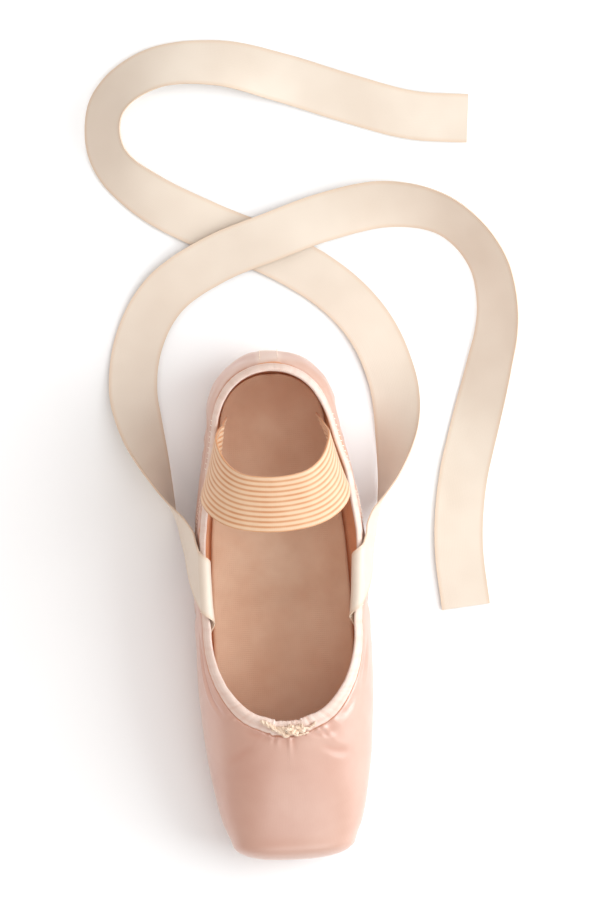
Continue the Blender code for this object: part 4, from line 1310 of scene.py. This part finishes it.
def build_insole():
    ds = stations(INSOLE_FRONT + 0.25, INSOLE_BACK - 0.25, 120)
    columns = 41
    cross = np.linspace(-1, 1, columns)
    top, low = [], []
    for d in ds:
        xs = cross * insole_half(d)
        y = np.full(columns, TIP + d)
        e = 0.4
        z = underside(xs, y)
        sx = (underside(xs + e, y) - underside(xs - e, y)) / (2 * e)
        sy = (underside(xs, y + e) - underside(xs, y - e)) / (2 * e)
        slope = np.sqrt(1 + np.minimum(sx * sx + sy * sy, 4.0))
        under = z + (WALL_QUARTER + GAP + 0.15) * slope
        rim = 0.5 * np.clip(1 - (insole_half(d) - np.abs(xs)) / 0.8, 0, 1) ** 2
        low.append(np.stack((xs, y, under), -1))
        top.append(np.stack((xs, y, under + INSOLE_THICK - rim), -1))
    top, low = np.array(top), np.array(low)
    flat = top.reshape(-1, 3)
    top = (flat + np.stack((0 * flat[:, 0], 0 * flat[:, 0], 0.25 * grain(flat, 0.06, 4.0) - 0.1), -1)).reshape(top.shape)
    rows, other = len(ds), len(ds) * columns
    faces = grid_faces(rows, columns) + grid_faces(rows, columns, start=other)
    for r in range(rows - 1):
        for c in (0, columns - 1):
            a, b = r * columns + c, (r + 1) * columns + c
            faces.append((a, b, other + b, other + a))
    for c in range(columns - 1):
        for r in (0, rows - 1):
            e = r * columns
            faces.append((e + c, e + c + 1, other + e + c + 1, other + e + c))
    ob = make("canvas_insole", np.concatenate((top.reshape(-1, 3), low.reshape(-1, 3))), faces,
              [canvas_material("canvas_sock", lining_tint_and_shade=False)])
    mesh = bmesh.new()
    mesh.from_mesh(ob.data)
    bmesh.ops.recalc_face_normals(mesh, faces=mesh.faces)
    mesh.to_mesh(ob.data)
    mesh.free()
    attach(ob, "root")
    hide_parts("insole")


# ---- bands ---------------------------------------------------------------
def closed_band(name, grid, thick, material, attribute, height=None, node=None):
    """Thin closed band from its middle surface: rows along, columns across."""
    normal = grid_normals(grid, closed=False)
    rows, columns = grid.shape[:2]
    lift = np.zeros((rows, columns)) if height is None else height
    over = grid + normal * (thick / 2 + lift)[..., None]
    below = grid - normal * (thick / 2 + lift)[..., None]
    other = rows * columns
    faces = grid_faces(rows, columns) + grid_faces(rows, columns, start=other)
    for r in range(rows - 1):
        for c in (0, columns - 1):
            a, b = r * columns + c, (r + 1) * columns + c
            faces.append((a, b, other + b, other + a))
    for c in range(columns - 1):
        for r in (0, rows - 1):
            e = r * columns
            faces.append((e + c, e + c + 1, other + e + c + 1, other + e + c))
    run = np.concatenate(([0.0], np.cumsum(np.linalg.norm(np.diff(grid[:, columns // 2], axis=0), axis=1))))
    width = np.linalg.norm(grid[:, -1] - grid[:, 0], axis=1).mean()
    uv = np.stack(np.meshgrid(run, np.linspace(0, width, columns), indexing="ij"), -1).reshape(-1, 2)
    key, values = attribute
    ob = make(name, np.concatenate((over.reshape(-1, 3), below.reshape(-1, 3))), faces, [material], None,
              {key: np.concatenate((values.ravel(), values.ravel()))}, np.concatenate((uv, uv)))
    mesh = bmesh.new()
    mesh.from_mesh(ob.data)
    bmesh.ops.recalc_face_normals(mesh, faces=mesh.faces)
    mesh.to_mesh(ob.data)
    mesh.free()
    ob.data.set_sharp_from_angle(angle=math.radians(60))
    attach(ob, "root")
    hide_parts(node)
    return ob, run


def build_elastic():
    rows, columns = 190, 67
    middle = elastic_line(rows)
    out = np.stack((middle[:, 0], np.zeros(rows), 1.5 * np.maximum(middle[:, 2] - 55.0, 0.0)), axis=-1)
    out[:, 1] += 9.0 * smooth((66.0 - middle[:, 2]) / 16.0)
    out /= np.linalg.norm(out, axis=1)[:, None]
    tangent = np.gradient(middle, axis=0)
    tangent /= np.linalg.norm(tangent, axis=1)[:, None]
    across = np.cross(tangent, out)
    for _ in range(60):
        across[1:-1] = (across[:-2] + 2 * across[1:-1] + across[2:]) / 4
    across -= tangent * (across * tangent).sum(axis=1)[:, None]
    across /= np.linalg.norm(across, axis=1)[:, None]
    offsets = np.linspace(-0.5, 0.5, columns) * (ELASTIC_WIDTH - 0.3)
    grid = middle[:, None] + across[:, None] * offsets[None, :, None]
    rim = COLLAR("height", grid[..., 1] - TIP)
    most = reach(grid[..., 1], grid[..., 2], grid[..., 0]) - 3.7
    most = most + 12.0 * smooth((grid[..., 2] - rim - 1.5) / 12.0)
    held = np.sign(grid[..., 0]) * np.minimum(np.abs(grid[..., 0]), most)
    grid[..., 0] = np.where(grid[..., 2] < rim + 13.0, held, grid[..., 0])
    phase = np.linspace(0, 11, columns) * 2 * math.pi
    rib_height_and_shade = 0.5 - 0.5 * np.cos(phase)
    rib_height_and_shade = rib_height_and_shade**0.7
    rib_height_and_shade = np.broadcast_to(rib_height_and_shade, (rows, columns))
    # One profile raises the ribs and paints shade in the grooves between them.
    height = (rib_height_and_shade - 0.75) * 0.22
    closed_band("elastic_band", grid, ELASTIC_THICK - 0.15, elastic_material(), ("rib_height_and_shade", rib_height_and_shade), height, "elastic")


def build_ribbon(name, side, rows_table, node, seed):
    columns = 13
    coarse = ribbon_grid(side, rows_table, columns)
    # Finer along its length, through the same sections.
    n = len(coarse)
    step = np.linalg.norm(np.diff(coarse[:, columns // 2], axis=0), axis=1)
    run = np.concatenate(([0.0], np.cumsum(step)))
    at = np.unique(np.concatenate((run, np.arange(0.0, run[-1], 1.5))))
    m = np.gradient(coarse, run, axis=0)
    k = np.clip(np.searchsorted(run, at, side="right") - 1, 0, n - 2)
    h = (run[k + 1] - run[k])
    t = ((at - run[k]) / h)[:, None, None]
    h = h[:, None, None]
    fine = ((2 * t**3 - 3 * t**2 + 1) * coarse[k] + (t**3 - 2 * t**2 + t) * h * m[k]
            + (3 * t**2 - 2 * t**3) * coarse[k + 1] + (t**3 - t**2) * h * m[k + 1])
    # A ribbon lies in slow waves, and its edges never quite touch the ground.
    normal = grid_normals(fine, closed=False)
    loose = smooth((at - 60.0) / 60.0)[:, None]
    v = np.linspace(-1, 1, columns)[None, :]
    sway = 0.28 * loose * (np.sin(at / 17.0 + seed)[:, None] * v + 0.6 * np.sin(at / 9.0 + 2 * seed)[:, None] * (v * v - 0.4))
    fine = fine + normal * sway[..., None]
    fine[..., 2] = np.maximum(fine[..., 2], 0.42)
    edge = np.broadcast_to(np.clip((np.abs(v) - 0.90) / 0.06, 0, 1), fine.shape[:2])
    height = 0.06 * edge
    ob, _ = closed_band(name, fine, 0.50, ribbon_material(), ("selvedge", 0.7 * edge), height, node)
    start = np.array((side * (float(reach(TIP + RIBBON_AT, 44.0, side)) - 0.9), TIP + RIBBON_AT, 47.5)) * MM


# ---- stage ---------------------------------------------------------------
def build_stage():
    size = 6.0
    mesh = bpy.data.meshes.new("floor")
    mesh.from_pydata([(-size, -size, -0.0002), (size, -size, -0.0002), (size, size, -0.0002), (-size, size, -0.0002)], [], [(0, 1, 2, 3)])
    mesh.materials.append(floor_material())
    floor = bpy.data.objects.new("floor", mesh)
    bpy.context.scene.collection.objects.link(floor)

    def area(name, place, aim, size, power, colour=(1, 1, 1)):
        data = bpy.data.lights.new(name, "AREA")
        data.shape = "RECTANGLE"
        data.size, data.size_y = size
        data.energy = power
        data.color = colour
        ob = bpy.data.objects.new(name, data)
        ob.location = place
        ob.rotation_euler = (Vector(aim) - Vector(place)).to_track_quat("-Z", "Y").to_euler()
        bpy.context.scene.collection.objects.link(ob)

    area("key_right", (1.15, 0.02, 0.78), (0, 0, 0.03), (1.3, 1.0), 16.0, (0.95, 0.985, 1.0))
    area("rim_right", (1.25, -0.05, 0.36), (0, 0, 0.04), (0.9, 0.22), 4.0, (0.82, 0.93, 1.0))
    area("fill_left", (-1.2, 0.1, 0.7), (0, 0, 0.03), (0.7, 1.2), 4.4, (1.0, 0.80, 0.70))
    area("top_soft", (0.36, 0.30, 1.75), (0, 0.05, 0.0), (1.3, 1.6), 8.8)
    area("front_soft", (0.20, -1.3, 0.8), (0, 0, 0.03), (1.2, 0.6), 4.0)
    area("back_soft", (0.3, 1.4, 0.8), (0, 0, 0.03), (1.2, 0.6), 3.5)

    world = bpy.data.worlds.new("studio")
    world.use_nodes = True
    world.node_tree.nodes["Background"].inputs["Color"].default_value = (1.0, 1.0, 1.0, 1.0)
    world.node_tree.nodes["Background"].inputs["Strength"].default_value = 0.40
    bpy.context.scene.world = world
    bpy.context.scene.view_settings.view_transform = "Standard"
    bpy.context.scene.view_settings.look = "None"


def build_camera():
    """High over the vamp, with a long lens."""
    data = bpy.data.cameras.new("camera")
    data.sensor_fit = "VERTICAL"
    data.sensor_height = 36.0
    far, tall = 3.6, 0.408
    data.lens = 36.0 * far / tall
    data.clip_end = 20.0
    camera = bpy.data.objects.new("camera", data)
    target = Vector((0.012, 0.070, 0.02))
    tilt, roll = math.radians(2.5), math.radians(3.0)
    back = Vector((0.0, math.sin(tilt), math.cos(tilt)))
    up = Vector((math.sin(roll), math.cos(roll), 0.0))
    right = up.cross(back).normalized()
    up = back.cross(right).normalized()
    camera.location = target + back * far
    camera.rotation_euler = Matrix((right, up, back)).transposed().to_euler()
    bpy.context.scene.collection.objects.link(camera)
    bpy.context.scene.camera = camera


def main():
    build_camera()
    build_stage()
    build_ribbon("ribbon_tape_right", 1.0, RIBBON_RIGHT, "ribbon_right", 0.7)
    build_ribbon("ribbon_tape_left", -1.0, RIBBON_LEFT, "ribbon_left", 2.3)
    lines = profiles(300, 320)
    build_upper(lines)
    build_stitches()
    strip, across, _, run = build_casing(lines)
    build_knot(strip, across)
    build_hand_stitches(strip, across, run)
    build_sole()
    build_insole()
    build_elastic()


main()
